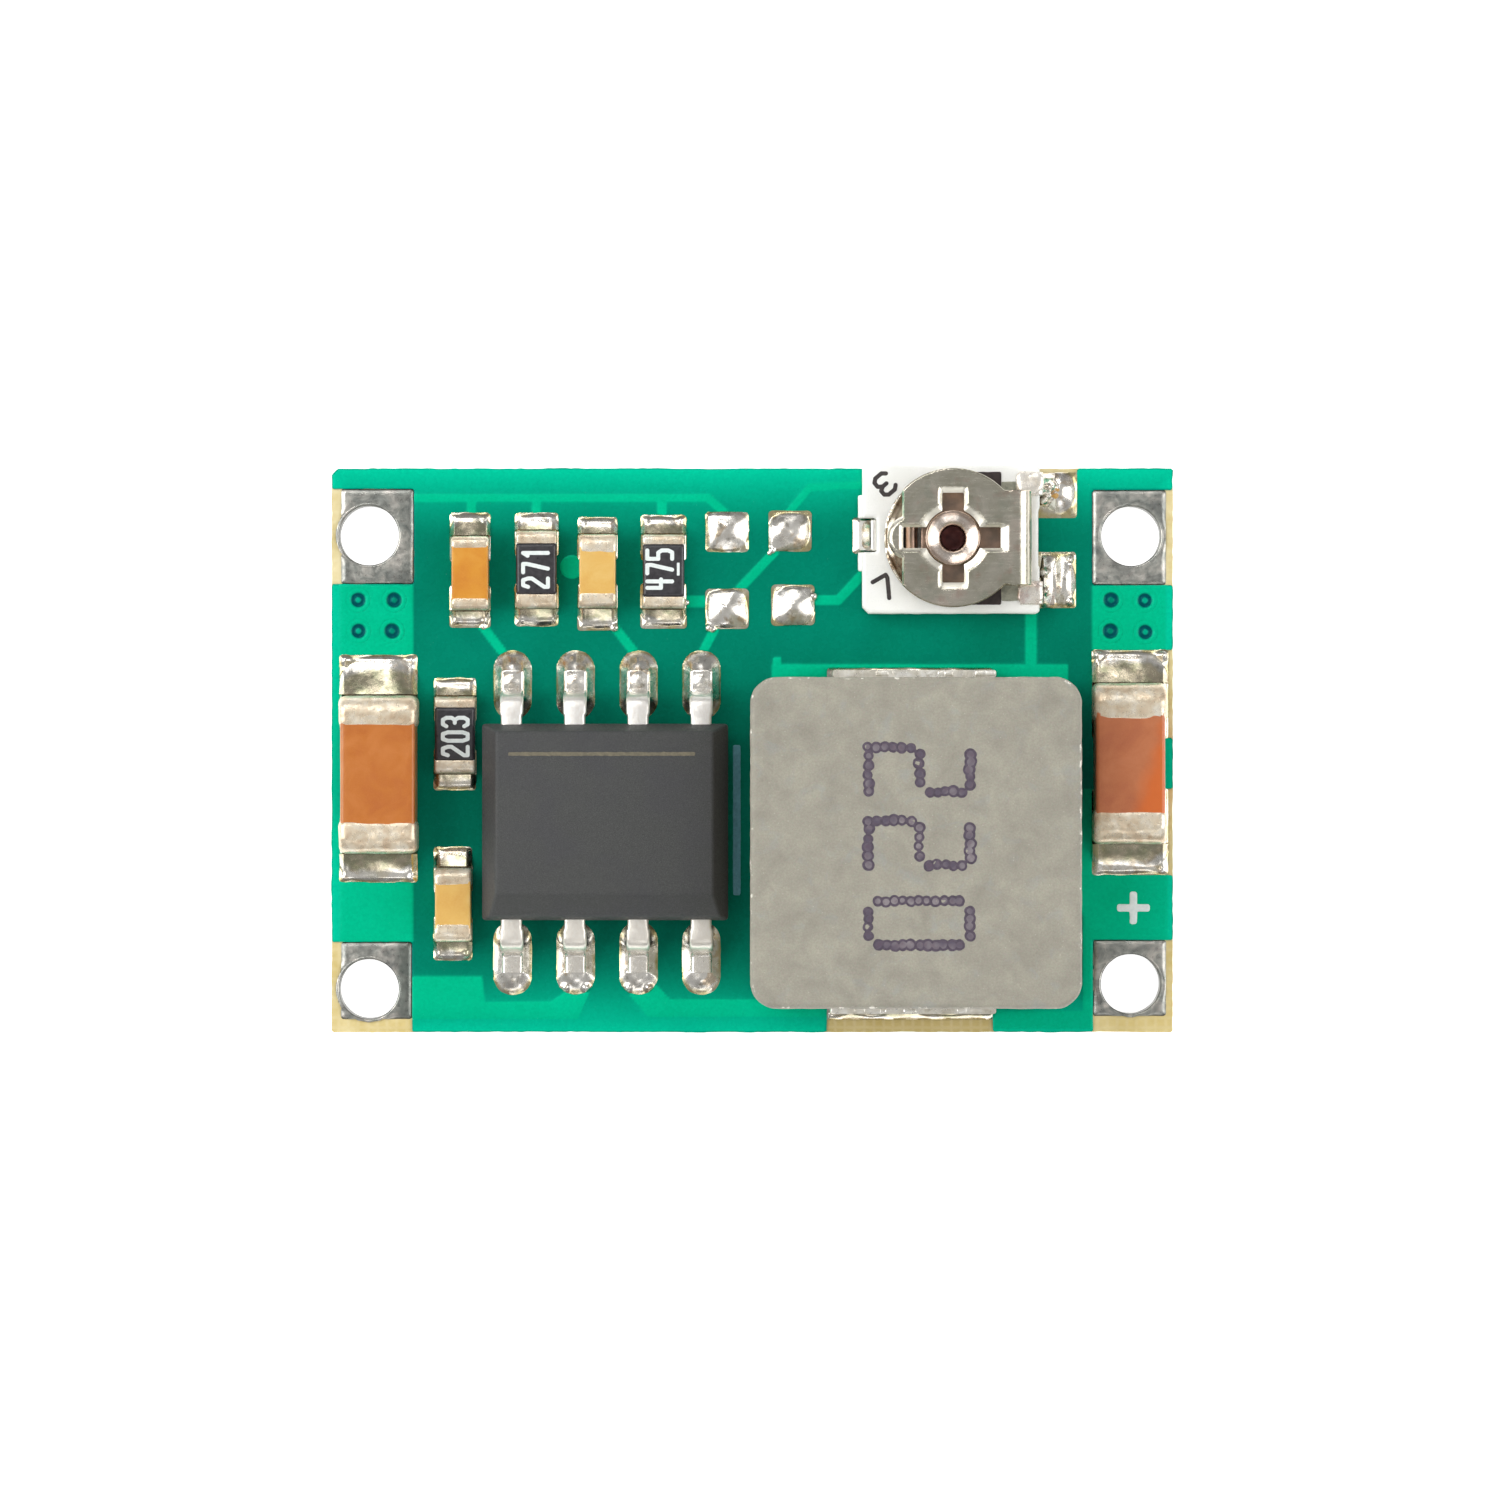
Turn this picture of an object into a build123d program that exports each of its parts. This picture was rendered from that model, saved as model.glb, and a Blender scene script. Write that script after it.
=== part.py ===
from build123d import *
import math
import os

os.makedirs("parts", exist_ok=True)

# ---------------------------------------------------------------- dimensions, in mm
# Origin: centre of the board's underside. +X runs from the input side to the output side,
# +Y towards the edge that carries the trimmer, +Z up.

# board and its layers, from the underside up
BOARD_L, BOARD_W = 17.0, 11.4
CORNER_NICK = 0.14
MASK_T = 0.02            # coating over copper
MASK_BARE_T = 0.04       # coating over bare laminate
CU_T = 0.035
TIN_T = 0.010
LAM_T = 0.69
Z_LAM0 = MASK_T + CU_T               # 0.055
Z_LAM1 = Z_LAM0 + LAM_T              # 0.745
Z_CU1 = Z_LAM1 + CU_T                # 0.780
Z_TOP = Z_CU1 + MASK_T               # 0.800, where the components stand

# corner terminals: hole centre and pad outline (x0, x1, y0, y1)
HOLE_R, BARREL_R, RING_R = 0.60, 0.64, 0.675
TERMINALS = {
    "input_ground_terminal": ((-7.733, 4.333), (-8.298, -6.825, 3.355, 5.271)),
    "input_positive_terminal": ((-7.733, -4.817), (-8.298, -6.865, -5.423, -3.869)),
    "output_ground_terminal": ((7.642, 4.323), (6.855, 8.348, 3.334, 5.251)),
    "output_positive_terminal": ((7.634, -4.717), (6.876, 8.348, -5.362, -3.829)),
}
TERMINAL_WINDOWS = (
    (-8.55, -6.825, 3.355, 5.271),
    (-8.55, -6.865, -5.75, -3.869),
    (6.855, 8.55, 3.334, 5.251),
    (6.876, 8.55, -5.75, -3.829),
)

# vias
VIA_R, VIA_BORE_R = 0.19, 0.14
INPUT_VIAS = ((-7.955, 3.032), (-7.229, 3.032), (-7.945, 2.406), (-7.269, 2.406))
OUTPUT_VIAS = ((7.239, 3.032), (7.925, 3.022), (7.229, 2.406), (7.935, 2.386))
SIGNAL_VIA = (-3.637, 3.698)

# regulator: 8 leads at 1.27 pitch
REG_X, REG_Y = -2.955, -1.440
REG_L, REG_W = 4.92, 3.96
REG_Z0, REG_H = 0.93, 1.45
REG_PITCH, REG_SPAN = 1.27, 6.08
REG_DRAFT, REG_BEVEL = 12, 0.36
LEAD_X = REG_X + 0.025
LEAD_W, LEAD_T = 0.42, 0.20
LEAD_Z = REG_Z0 + 0.70

# inductor
IND_X, IND_Y = 3.250, -1.838
IND_SIDE, IND_Z0, IND_Z1 = 6.60, 0.86, 3.80
IND_CORNER_R = 0.54
CLIP_W, CLIP_T, CLIP_UP = 3.30, 0.15, 1.95
COIL_R, COIL_RADIAL, COIL_AXIAL, COIL_PITCH, COIL_TURNS = 1.75, 0.80, 0.16, 0.22, 8
COIL_Z0 = 1.30

# big chip capacitors (centre x, centre y, width, length, height, termination length)
CIN = (-7.500, -0.490, 1.58, 3.18, 1.55, 0.615)
COUT = (7.572, -0.264, 1.47, 3.24, 1.55, 0.68)

# small chips: centre x, centre y, width, length, termination length, pad x0, x1, y0, y1
CHIP_CAP_H, CHIP_RES_H = 0.80, 0.45
CHIP_CAPS = {
    "chip_capacitor_1": (-5.675, 3.564, 0.78, 1.50, 0.23, -6.099, -5.292, 2.487, 4.787),
    "chip_capacitor_2": (-3.112, 3.604, 0.77, 1.50, 0.33, -3.516, -2.729, 2.426, 4.706),
    "chip_capacitor_3": (-6.017, -3.112, 0.76, 1.50, 0.33, -6.422, -5.655, -4.232, -1.952),
}
CHIP_RESISTORS = {
    "chip_resistor_1": (-4.348, 3.640, 0.84, 1.58, 0.28, -4.787, -3.919, 2.507, 4.787),
    "chip_resistor_2": (-1.784, 3.600, 0.86, 1.50, 0.22, -2.245, -1.337, 2.467, 4.747),
    "chip_resistor_3": (-5.987, 0.306, 0.83, 1.56, 0.24, -6.422, -5.574, -0.802, 1.458),
}
PLATE_T = 0.018          # plated end thickness

# spare pads: centre x, centre y
SPARE_PADS = ((-0.509, 4.404), (0.762, 4.423), (-0.509, 2.851), (0.822, 2.931))
SPARE_W, SPARE_L, SPARE_H = 0.86, 0.80, 0.26

# open trimmer
TRIM_X, TRIM_Y = 4.024, 4.260        # axis of the rotor
TB_X0, TB_X1, TB_Y0, TB_Y1 = 2.205, 5.785, 2.740, 5.750
TB_Z0, TB_Z1 = 0.86, 1.45
SHEET_T = 0.11
LEAF_Z0 = 1.56
DISC_Z1 = 2.15
DISC_R, LEAF_R = 1.395, 1.375
FOLD_HALF_W = 0.95
FOLD_R = (DISC_Z1 - LEAF_Z0) / 2
FOLD_X = 1.58 - FOLD_R               # fold centre line, from the rotor's axis
SLOT_HALF_W = 0.22
EYELET_R, EYELET_BORE_R, EYELET_FLARE_R = 0.32, 0.235, 0.555
WIPER_Y0, WIPER_Y1 = 3.985, 4.675


# ---------------------------------------------------------------- sketch helpers
def rect(x0, x1, y0, y1, mode=Mode.ADD):
    with Locations(((x0 + x1) / 2, (y0 + y1) / 2)):
        Rectangle(x1 - x0, y1 - y0, mode=mode)


def stroke(width, *points):
    """A trace of constant width with round joints through the points."""
    for (xa, ya), (xb, yb) in zip(points, points[1:]):
        run = math.hypot(xb - xa, yb - ya)
        turn = math.degrees(math.atan2(yb - ya, xb - xa))
        with Locations(Location(((xa + xb) / 2, (ya + yb) / 2, 0), (0, 0, turn))):
            Rectangle(run, width)
    with Locations(*points):
        Circle(width / 2)


LEAD_XS = [LEAD_X + REG_PITCH * (i - 1.5) for i in range(4)]
LEAD_PAD_W = 0.76
UP_PAD = (0.62, 2.010)               # y range of the upper row's pads
LO_PAD = (-4.930, -3.45)


def board_outline():
    """The board, with the small nick at its top left corner."""
    x, y, n = BOARD_L / 2, BOARD_W / 2, CORNER_NICK
    Polygon((-x, -y), (x, -y), (x, y), (-x + n, y), (-x, y - n), align=None)


def lead_pads(grow=0.0):
    for x in LEAD_XS:
        for y0, y1 in (UP_PAD, LO_PAD):
            with Locations((x, (y0 + y1) / 2)):
                SlotOverall(y1 - y0 + 2 * grow, LEAD_PAD_W + 2 * grow, rotation=90)


def chip_pads(spec, keep=0.52):
    """The two pads of a small chip; keep is how far they run in under each end."""
    cx, cy, w, l, t, x0, x1, y0, y1 = spec
    rect(x0, x1, cy + l / 2 - keep, y1)
    rect(x0, x1, y0, cy - l / 2 + keep)


def component_windows():
    """The coating's windows over the component pads."""
    rect(-8.318, -6.765, 0.380, 1.922)
    rect(-8.318, -6.765, -2.658, -1.360)
    rect(6.855, 8.55, 0.250, 2.023)
    rect(6.855, 8.55, -2.517, -0.780)
    for spec in list(CHIP_CAPS.values()) + list(CHIP_RESISTORS.values()):
        chip_pads(spec)
    for x, y in SPARE_PADS:
        rect(x - SPARE_W / 2, x + SPARE_W / 2, y - SPARE_L / 2, y + SPARE_L / 2)
    lead_pads()
    rect(1.507, 4.855, 0.300, 1.660)
    rect(1.507, 4.855, -5.75, -3.980)
    rect(5.300, 6.553, 4.686, 5.75)
    rect(5.300, 6.532, 2.870, 4.000)
    rect(2.020, 2.700, WIPER_Y0 - 0.02, WIPER_Y1 + 0.02)


def top_copper():
    """Every island of the upper copper layer, apart from the corner terminals."""
    # input ground: from the corner terminal down to the big capacitor, and the top trace
    rect(-8.318, -6.845, 0.380, 3.355)
    rect(-8.318, -6.765, 0.380, 1.922)
    stroke(0.162, (-6.90, 5.090), (-0.893, 5.090), (-0.509, 4.750))
    for x, y in ((-5.665, 4.70), (-4.354, 4.70), (-1.821, 4.66)):
        stroke(0.185, (x, 5.05), (x, y))
    # input positive: block, polygon and the second lead of the lower row
    rect(-8.318, -6.845, -3.869, -1.360)
    rect(-8.318, -6.765, -2.658, -1.360)
    Polygon(
        (-6.900, -4.555), (-5.453, -4.555), (-5.392, -5.080), (-4.061, -5.060), (-3.778, -4.880),
        (-3.274, -4.860), (-3.516, -5.423), (-6.900, -5.423), align=None,
    )
    # switch node: third lead of the lower row to the inductor
    Polygon(
        (-2.467, -4.950), (-2.104, -5.382), (1.507, -5.382), (1.507, -5.027), (-1.660, -5.027),
        (-1.960, -4.700), (-2.467, -4.700), align=None,
    )
    rect(1.500, 4.858, -5.430, -3.980)
    # output side of the inductor, with the run under it to the output block
    rect(0.399, 6.371, 1.458, 1.740)
    rect(0.419, 0.580, 1.700, 1.882)
    rect(1.500, 4.858, 0.300, 1.500)
    rect(5.250, 6.371, -3.300, 1.500)
    rect(5.250, 6.900, -3.300, -1.000)
    stroke(0.235, (5.625, 1.70), (5.625, 2.95))
    # output ground and output positive blocks
    rect(6.855, 8.348, 0.250, 3.334)
    rect(6.855, 8.389, 0.250, 2.023)
    rect(6.674, 8.389, -3.829, -0.780)
    rect(6.674, 6.880, -5.624, -3.800)
    rect(4.858, 6.876, -5.624, -5.261)
    # small parts
    for spec in list(CHIP_CAPS.values()) + list(CHIP_RESISTORS.values()):
        chip_pads(spec)
    for x, y in SPARE_PADS:
        rect(x - SPARE_W / 2, x + SPARE_W / 2, y - SPARE_L / 2, y + SPARE_L / 2)
    lead_pads()
    stroke(0.180, (-5.480, 2.550), (-4.930, 1.840))
    stroke(0.180, (-2.850, 2.580), (-2.290, 1.860))
    stroke(0.180, (-0.700, 2.560), (-1.030, 1.920))
    stroke(0.180, (0.450, 4.000), (-0.330, 3.180))
    stroke(0.150, (0.700, 4.760), (1.165, 5.310), (2.600, 5.372))
    rect(-1.360, -0.900, 2.890, 3.112)
    stroke(0.190, (1.220, 3.032), (1.740, 3.032), (2.600, 3.960))
    # trimmer pads
    rect(5.300, 6.553, 4.686, 5.600)
    rect(5.300, 6.532, 2.870, 4.000)
    rect(2.020, 2.700, WIPER_Y0 - 0.02, WIPER_Y1 + 0.02)


ALL_VIAS = INPUT_VIAS + OUTPUT_VIAS + (SIGNAL_VIA,)


# ---------------------------------------------------------------- board
with BuildPart() as pcb_laminate:
    with BuildSketch(Plane.XY.offset(Z_LAM0)):
        board_outline()
        with Locations(*[hole for hole, pad in TERMINALS.values()]):
            Circle(BARREL_R, mode=Mode.SUBTRACT)
        with Locations(*ALL_VIAS):
            Circle(VIA_R, mode=Mode.SUBTRACT)
    extrude(amount=LAM_T)
pcb_laminate.part.label = "pcb_laminate"
export_step(pcb_laminate.part, "parts/pcb_laminate.step")

with BuildPart() as copper_top:
    with BuildSketch(Plane.XY.offset(Z_LAM1)):
        top_copper()
        with Locations(SIGNAL_VIA):
            Circle(VIA_R + 0.05)
        for x0, x1, y0, y1 in TERMINAL_WINDOWS:
            rect(x0, x1, y0, y1, mode=Mode.SUBTRACT)
        with Locations(*ALL_VIAS):
            Circle(VIA_R, mode=Mode.SUBTRACT)
    extrude(amount=CU_T)
copper_top.part.label = "copper_top"
export_step(copper_top.part, "parts/copper_top.step")

# a plain pour on the underside, held back from the two positive terminals
with BuildPart() as copper_bottom:
    with BuildSketch(Plane.XY.offset(MASK_T)):
        rect(-8.318, 8.348, -5.423, 5.423)
        for x0, x1, y0, y1 in TERMINAL_WINDOWS:
            rect(x0, x1, y0, y1, mode=Mode.SUBTRACT)
        rect(-8.55, -6.62, -5.75, -3.62, mode=Mode.SUBTRACT)
        rect(6.62, 8.55, -5.75, -3.58, mode=Mode.SUBTRACT)
        with Locations(*ALL_VIAS):
            Circle(VIA_R, mode=Mode.SUBTRACT)
    extrude(amount=CU_T)
copper_bottom.part.label = "copper_bottom"
export_step(copper_bottom.part, "parts/copper_bottom.step")

# upper coating: a little lower between the copper islands than over them, and sagging into
# each via as a dimple
with BuildPart() as solder_mask_top:
    with BuildSketch(Plane.XY.offset(Z_LAM1)):
        board_outline()
        for x0, x1, y0, y1 in TERMINAL_WINDOWS:
            rect(x0, x1, y0, y1, mode=Mode.SUBTRACT)
    extrude(amount=MASK_BARE_T)
    with BuildSketch(Plane.XY.offset(Z_CU1)):
        top_copper()
        with Locations(SIGNAL_VIA):
            Circle(VIA_R + 0.05)
        for x0, x1, y0, y1 in TERMINAL_WINDOWS:
            rect(x0, x1, y0, y1, mode=Mode.SUBTRACT)
    extrude(amount=MASK_T)
    add(copper_top.part, mode=Mode.SUBTRACT)
    with BuildSketch(Plane.XY.offset(Z_LAM1)):
        component_windows()
    extrude(amount=0.2, mode=Mode.SUBTRACT)
    with BuildSketch(Plane.XY.offset(Z_LAM1)):
        with Locations(*ALL_VIAS):
            Circle(VIA_R + 0.001)
            Circle(VIA_BORE_R, mode=Mode.SUBTRACT)
    extrude(amount=CU_T, mode=Mode.SUBTRACT)
    with BuildSketch(Plane.XY.offset(0.66)):
        with Locations(*ALL_VIAS):
            Circle(VIA_BORE_R)
    extrude(amount=0.14)
    with Locations(*[(x, y, Z_TOP + 0.055) for x, y in ALL_VIAS]):
        Sphere(0.150, mode=Mode.SUBTRACT)
solder_mask_top.part.label = "solder_mask_top"
export_step(solder_mask_top.part, "parts/solder_mask_top.step")

with BuildPart() as solder_mask_bottom:
    with BuildSketch(Plane.XY):
        board_outline()
        for x0, x1, y0, y1 in TERMINAL_WINDOWS:
            rect(x0, x1, y0, y1, mode=Mode.SUBTRACT)
    extrude(amount=Z_LAM0)
    add(copper_bottom.part, mode=Mode.SUBTRACT)
    with BuildSketch(Plane.XY.offset(MASK_T)):
        with Locations(*ALL_VIAS):
            Circle(VIA_R + 0.001)
    extrude(amount=CU_T, mode=Mode.SUBTRACT)
solder_mask_bottom.part.label = "solder_mask_bottom"
export_step(solder_mask_bottom.part, "parts/solder_mask_bottom.step")


def terminal(name, hole, pad):
    """A tinned pad on each face, joined by the plated wall of the hole."""
    with BuildPart() as plated:
        for z in (MASK_T - TIN_T, Z_LAM1):
            with BuildSketch(Plane.XY.offset(z)):
                rect(*pad)
                with Locations(hole):
                    Circle(RING_R)
                rect(-8.48, 8.48, -5.69, 5.69, mode=Mode.INTERSECT)
            extrude(amount=CU_T + TIN_T)
        with BuildSketch(Plane.XY.offset(MASK_T - TIN_T)):
            with Locations(hole):
                Circle(BARREL_R)
        extrude(amount=Z_CU1 + TIN_T - (MASK_T - TIN_T))
        with BuildSketch(Plane.XY):
            with Locations(hole):
                Circle(HOLE_R)
        extrude(amount=1.0, mode=Mode.SUBTRACT)
    plated.part.label = name
    export_step(plated.part, f"parts/{name}.step")


for name, (hole, pad) in TERMINALS.items():
    terminal(name, hole, pad)


def barrels(name, places):
    with BuildPart() as tubes:
        with BuildSketch(Plane.XY.offset(MASK_T)):
            with Locations(*places):
                Circle(VIA_R)
                Circle(VIA_BORE_R, mode=Mode.SUBTRACT)
        extrude(amount=Z_CU1 - MASK_T)
    tubes.part.label = name
    export_step(tubes.part, f"parts/{name}.step")


barrels("input_vias", INPUT_VIAS)
barrels("output_vias", OUTPUT_VIAS)
barrels("signal_via", (SIGNAL_VIA,))

with BuildPart() as polarity_mark:
    with BuildSketch(Plane.XY.offset(Z_TOP)):
        with Locations((7.690, -3.180)):
            Rectangle(0.66, 0.15)
            Rectangle(0.15, 0.66)
    extrude(amount=0.012)
polarity_mark.part.label = "polarity_mark"
export_step(polarity_mark.part, "parts/polarity_mark.step")

# ---------------------------------------------------------------- regulator
LEAD_IN = 1.18           # inner end of each lead, from the package centre
lead_foot_z = Z_TOP + LEAD_T / 2

with BuildPart() as regulator_leads:
    for side in (1, -1):
        for x in LEAD_XS:
            with BuildLine(Plane.YZ.offset(x)) as run:
                FilletPolyline(
                    (REG_Y + side * LEAD_IN, LEAD_Z),
                    (REG_Y + side * 2.44, LEAD_Z),
                    (REG_Y + side * 2.60, lead_foot_z),
                    (REG_Y + side * REG_SPAN / 2, lead_foot_z),
                    radius=0.14,
                )
            start = run.line @ 0
            with BuildSketch(Plane(origin=start, x_dir=(1, 0, 0), z_dir=run.line % 0)) as section:
                Rectangle(LEAD_W, LEAD_T)
            sweep(sections=section.sketch, path=run.line)
regulator_leads.part.label = "regulator_leads"
export_step(regulator_leads.part, "parts/regulator_leads.step")

DIE_PAD_Z0 = LEAD_Z - 0.28
with BuildPart() as regulator_die_pad:
    with BuildSketch(Plane.XY.offset(DIE_PAD_Z0)):
        with Locations((REG_X, REG_Y)):
            RectangleRounded(3.10, 1.95, 0.15)
    extrude(amount=0.20)
regulator_die_pad.part.label = "regulator_die_pad"
export_step(regulator_die_pad.part, "parts/regulator_die_pad.step")

DIE_Z1 = DIE_PAD_Z0 + 0.20 + 0.24
with BuildPart() as regulator_die:
    with BuildSketch(Plane.XY.offset(DIE_PAD_Z0 + 0.20)):
        with Locations((REG_X, REG_Y)):
            Rectangle(1.90, 1.30)
    extrude(amount=0.24)
regulator_die.part.label = "regulator_die"
export_step(regulator_die.part, "parts/regulator_die.step")

with BuildPart() as regulator_bond_wires:
    for side in (1, -1):
        for i, x in enumerate(LEAD_XS):
            die_x = REG_X + (i - 1.5) * 0.46
            a = Vector(die_x, REG_Y + side * 0.50, DIE_Z1)
            d = Vector(x, REG_Y + side * (LEAD_IN + 0.10), LEAD_Z + LEAD_T / 2)
            flat = Vector(d.X - a.X, d.Y - a.Y, 0)
            across = flat.normalized()
            b = a + Vector(0, 0, 0.20)
            c = Vector(d.X, d.Y, d.Z) - across * 0.16 + Vector(0, 0, DIE_Z1 + 0.16 - d.Z)
            with BuildLine() as wire:
                FilletPolyline(a, b, c, d, radius=0.06)
            with BuildSketch(Plane(origin=wire.line @ 0, z_dir=wire.line % 0)) as gauge:
                Circle(0.02)
            sweep(sections=gauge.sketch, path=wire.line)
regulator_bond_wires.part.label = "regulator_bond_wires"
export_step(regulator_bond_wires.part, "parts/regulator_bond_wires.step")

with BuildPart() as regulator_body:
    with BuildSketch(Plane.XY.offset(LEAD_Z)):
        with Locations((REG_X, REG_Y)):
            Rectangle(REG_L, REG_W)
    extrude(amount=REG_Z0 + REG_H - LEAD_Z, taper=REG_DRAFT)
    with BuildSketch(Plane.XY.offset(LEAD_Z)):
        with Locations((REG_X, REG_Y)):
            Rectangle(REG_L, REG_W)
    extrude(amount=-(LEAD_Z - REG_Z0), taper=REG_DRAFT)
    # bevel along the side of the first lead
    top = regulator_body.faces().sort_by(Axis.Z)[-1]
    chamfer(top.edges().filter_by(Axis.X).sort_by(Axis.Y)[0], length=REG_BEVEL)
    top = regulator_body.faces().sort_by(Axis.Z)[-1]
    fillet(top.edges(), radius=0.05)
    add(regulator_leads.part, mode=Mode.SUBTRACT)
    add(regulator_die_pad.part, mode=Mode.SUBTRACT)
    add(regulator_die.part, mode=Mode.SUBTRACT)
    add(regulator_bond_wires.part, mode=Mode.SUBTRACT)
regulator_body.part.label = "regulator_body"
export_step(regulator_body.part, "parts/regulator_body.step")

# ---------------------------------------------------------------- inductor
HALF = IND_SIDE / 2
COIL_X = IND_X + COIL_R              # both tails leave along this line
coil_z1 = COIL_Z0 + COIL_PITCH * COIL_TURNS
TAIL_END = HALF - 0.45

with BuildPart() as inductor_coil:
    with BuildLine(Plane.XY.offset(COIL_Z0).move(Location((IND_X, IND_Y, 0)))) as turns:
        Helix(pitch=COIL_PITCH, height=COIL_PITCH * COIL_TURNS, radius=COIL_R)
    start = turns.line @ 0
    with BuildSketch(Plane(origin=start, x_dir=(1, 0, 0), z_dir=turns.line % 0)) as flat_wire:
        Rectangle(COIL_RADIAL, COIL_AXIAL)
    sweep(sections=flat_wire.sketch, path=turns.line, is_frenet=True)
    with Locations((COIL_X, IND_Y - TAIL_END / 2 + 0.02, COIL_Z0)):
        Box(COIL_RADIAL, TAIL_END + 0.04, COIL_AXIAL)
    with Locations((COIL_X, IND_Y + TAIL_END / 2 - 0.02, coil_z1)):
        Box(COIL_RADIAL, TAIL_END + 0.04, COIL_AXIAL)
inductor_coil.part.label = "inductor_coil"
export_step(inductor_coil.part, "parts/inductor_coil.step")

# each clip: foot under the core, outer wall up its side, a tab folded in and a riser that
# meets the coil's tail
with BuildPart() as inductor_terminals:
    for side, tail_z in ((-1, COIL_Z0), (1, coil_z1)):
        y_in = HALF - 1.55
        with BuildSketch(Plane.YZ.offset(IND_X - CLIP_W / 2)):
            face = HALF + CLIP_T
            profile = [
                (y_in, Z_TOP), (face - 0.08, Z_TOP), (face, Z_TOP + 0.08), (face, CLIP_UP),
                (HALF - 0.45, CLIP_UP), (HALF - 0.45, CLIP_UP - CLIP_T), (HALF, CLIP_UP - CLIP_T),
                (HALF, Z_TOP + CLIP_T), (y_in, Z_TOP + CLIP_T),
            ]
            Polygon(*[(IND_Y + side * y, z) for y, z in profile], align=None)
        extrude(amount=CLIP_W)
        z0, z1 = sorted((tail_z + (COIL_AXIAL / 2 if side > 0 else -COIL_AXIAL / 2), CLIP_UP - CLIP_T / 2))
        with Locations((COIL_X - 0.25, IND_Y + side * (HALF - 0.45 + CLIP_T / 2), (z0 + z1) / 2)):
            Box(0.80, CLIP_T, z1 - z0)
inductor_terminals.part.label = "inductor_terminals"
export_step(inductor_terminals.part, "parts/inductor_terminals.step")

GAP = 0.05
with BuildPart() as inductor_core:
    with BuildSketch(Plane.XY.offset(IND_Z0)):
        with Locations((IND_X, IND_Y)):
            RectangleRounded(IND_SIDE, IND_SIDE, IND_CORNER_R)
    extrude(amount=IND_Z1 - IND_Z0)
    top = inductor_core.faces().sort_by(Axis.Z)[-1]
    fillet(top.edges(), radius=0.12)
    # winding space and the two tail channels
    with BuildSketch(Plane.XY.offset(COIL_Z0 - COIL_AXIAL / 2 - GAP)):
        with Locations((IND_X, IND_Y)):
            Circle(COIL_R + COIL_RADIAL / 2 + GAP)
            Circle(COIL_R - COIL_RADIAL / 2 - GAP, mode=Mode.SUBTRACT)
    extrude(amount=coil_z1 - COIL_Z0 + COIL_AXIAL + 2 * GAP, mode=Mode.SUBTRACT)
    for side, z in ((-1, COIL_Z0), (1, coil_z1)):
        with Locations((COIL_X, IND_Y + side * TAIL_END / 2, z)):
            Box(COIL_RADIAL + 2 * GAP, TAIL_END, COIL_AXIAL + 2 * GAP, mode=Mode.SUBTRACT)
    add(inductor_terminals.part, mode=Mode.SUBTRACT)
inductor_core.part.label = "inductor_core"
export_step(inductor_core.part, "parts/inductor_core.step")


# ---------------------------------------------------------------- chip parts
def ceramic(name, cx, cy, w, l, h, soft):
    """A fired block with tumbled edges."""
    with BuildPart() as block:
        with BuildSketch(Plane.XY.offset(Z_TOP + PLATE_T)):
            with Locations((cx, cy)):
                Rectangle(w - 2 * PLATE_T, l - 2 * PLATE_T)
        extrude(amount=h - 2 * PLATE_T)
        fillet(block.edges(), radius=soft)
    block.part.label = name
    export_step(block.part, f"parts/{name}.step")
    return block


def plated_ends(name, cx, cy, w, l, h, t, soft, core):
    """The two five-sided end caps."""
    with BuildPart() as caps:
        for side in (1, -1):
            with BuildSketch(Plane.XY.offset(Z_TOP)):
                with Locations((cx, cy + side * (l - t) / 2)):
                    Rectangle(w, t)
            extrude(amount=h)
        outer = (
            caps.edges()
            .filter_by(lambda e: abs(abs(e.center().Y - cy) - (l / 2 - t)) > 0.001)
        )
        fillet(outer, radius=soft)
        for inner in core:
            add(inner.part, mode=Mode.SUBTRACT)
    caps.part.label = name
    export_step(caps.part, f"parts/{name}.step")


for name, (cx, cy, w, l, h, t) in (("input_capacitor", CIN), ("output_capacitor", COUT)):
    block = ceramic(f"{name}_body", cx, cy, w - 0.05, l, h, 0.07)
    plated_ends(f"{name}_ends", cx, cy, w, l, h, t, 0.10, [block])

for name, (cx, cy, w, l, t, *pad) in CHIP_CAPS.items():
    block = ceramic(f"{name}_body", cx, cy, w, l, CHIP_CAP_H, 0.035)
    plated_ends(f"{name}_ends", cx, cy, w, l, CHIP_CAP_H, t, 0.05, [block])


def resistor(name, cx, cy, w, l, t):
    glaze_t = 0.045
    base_top = Z_TOP + CHIP_RES_H - glaze_t
    with BuildPart() as base:
        with BuildSketch(Plane.XY.offset(Z_TOP + PLATE_T)):
            with Locations((cx, cy)):
                Rectangle(w - 2 * PLATE_T, l - 2 * PLATE_T)
        extrude(amount=base_top - Z_TOP - PLATE_T)
    base.part.label = f"{name}_base"
    export_step(base.part, f"parts/{name}_base.step")
    with BuildPart() as element:
        with BuildSketch(Plane.XY.offset(base_top)):
            with Locations((cx, cy)):
                Rectangle(w - 2 * PLATE_T, l - 2 * t)
        extrude(amount=glaze_t)
        fillet(element.edges().filter_by(Axis.Z), radius=0.03)
        fillet(element.faces().sort_by(Axis.Z)[-1].edges(), radius=0.02)
    element.part.label = f"{name}_element"
    export_step(element.part, f"parts/{name}_element.step")
    plated_ends(f"{name}_ends", cx, cy, w, l, CHIP_RES_H - 0.015, t, 0.03, [base])


for name, (cx, cy, w, l, t, *pad) in CHIP_RESISTORS.items():
    resistor(name, cx, cy, w, l, t)

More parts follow.
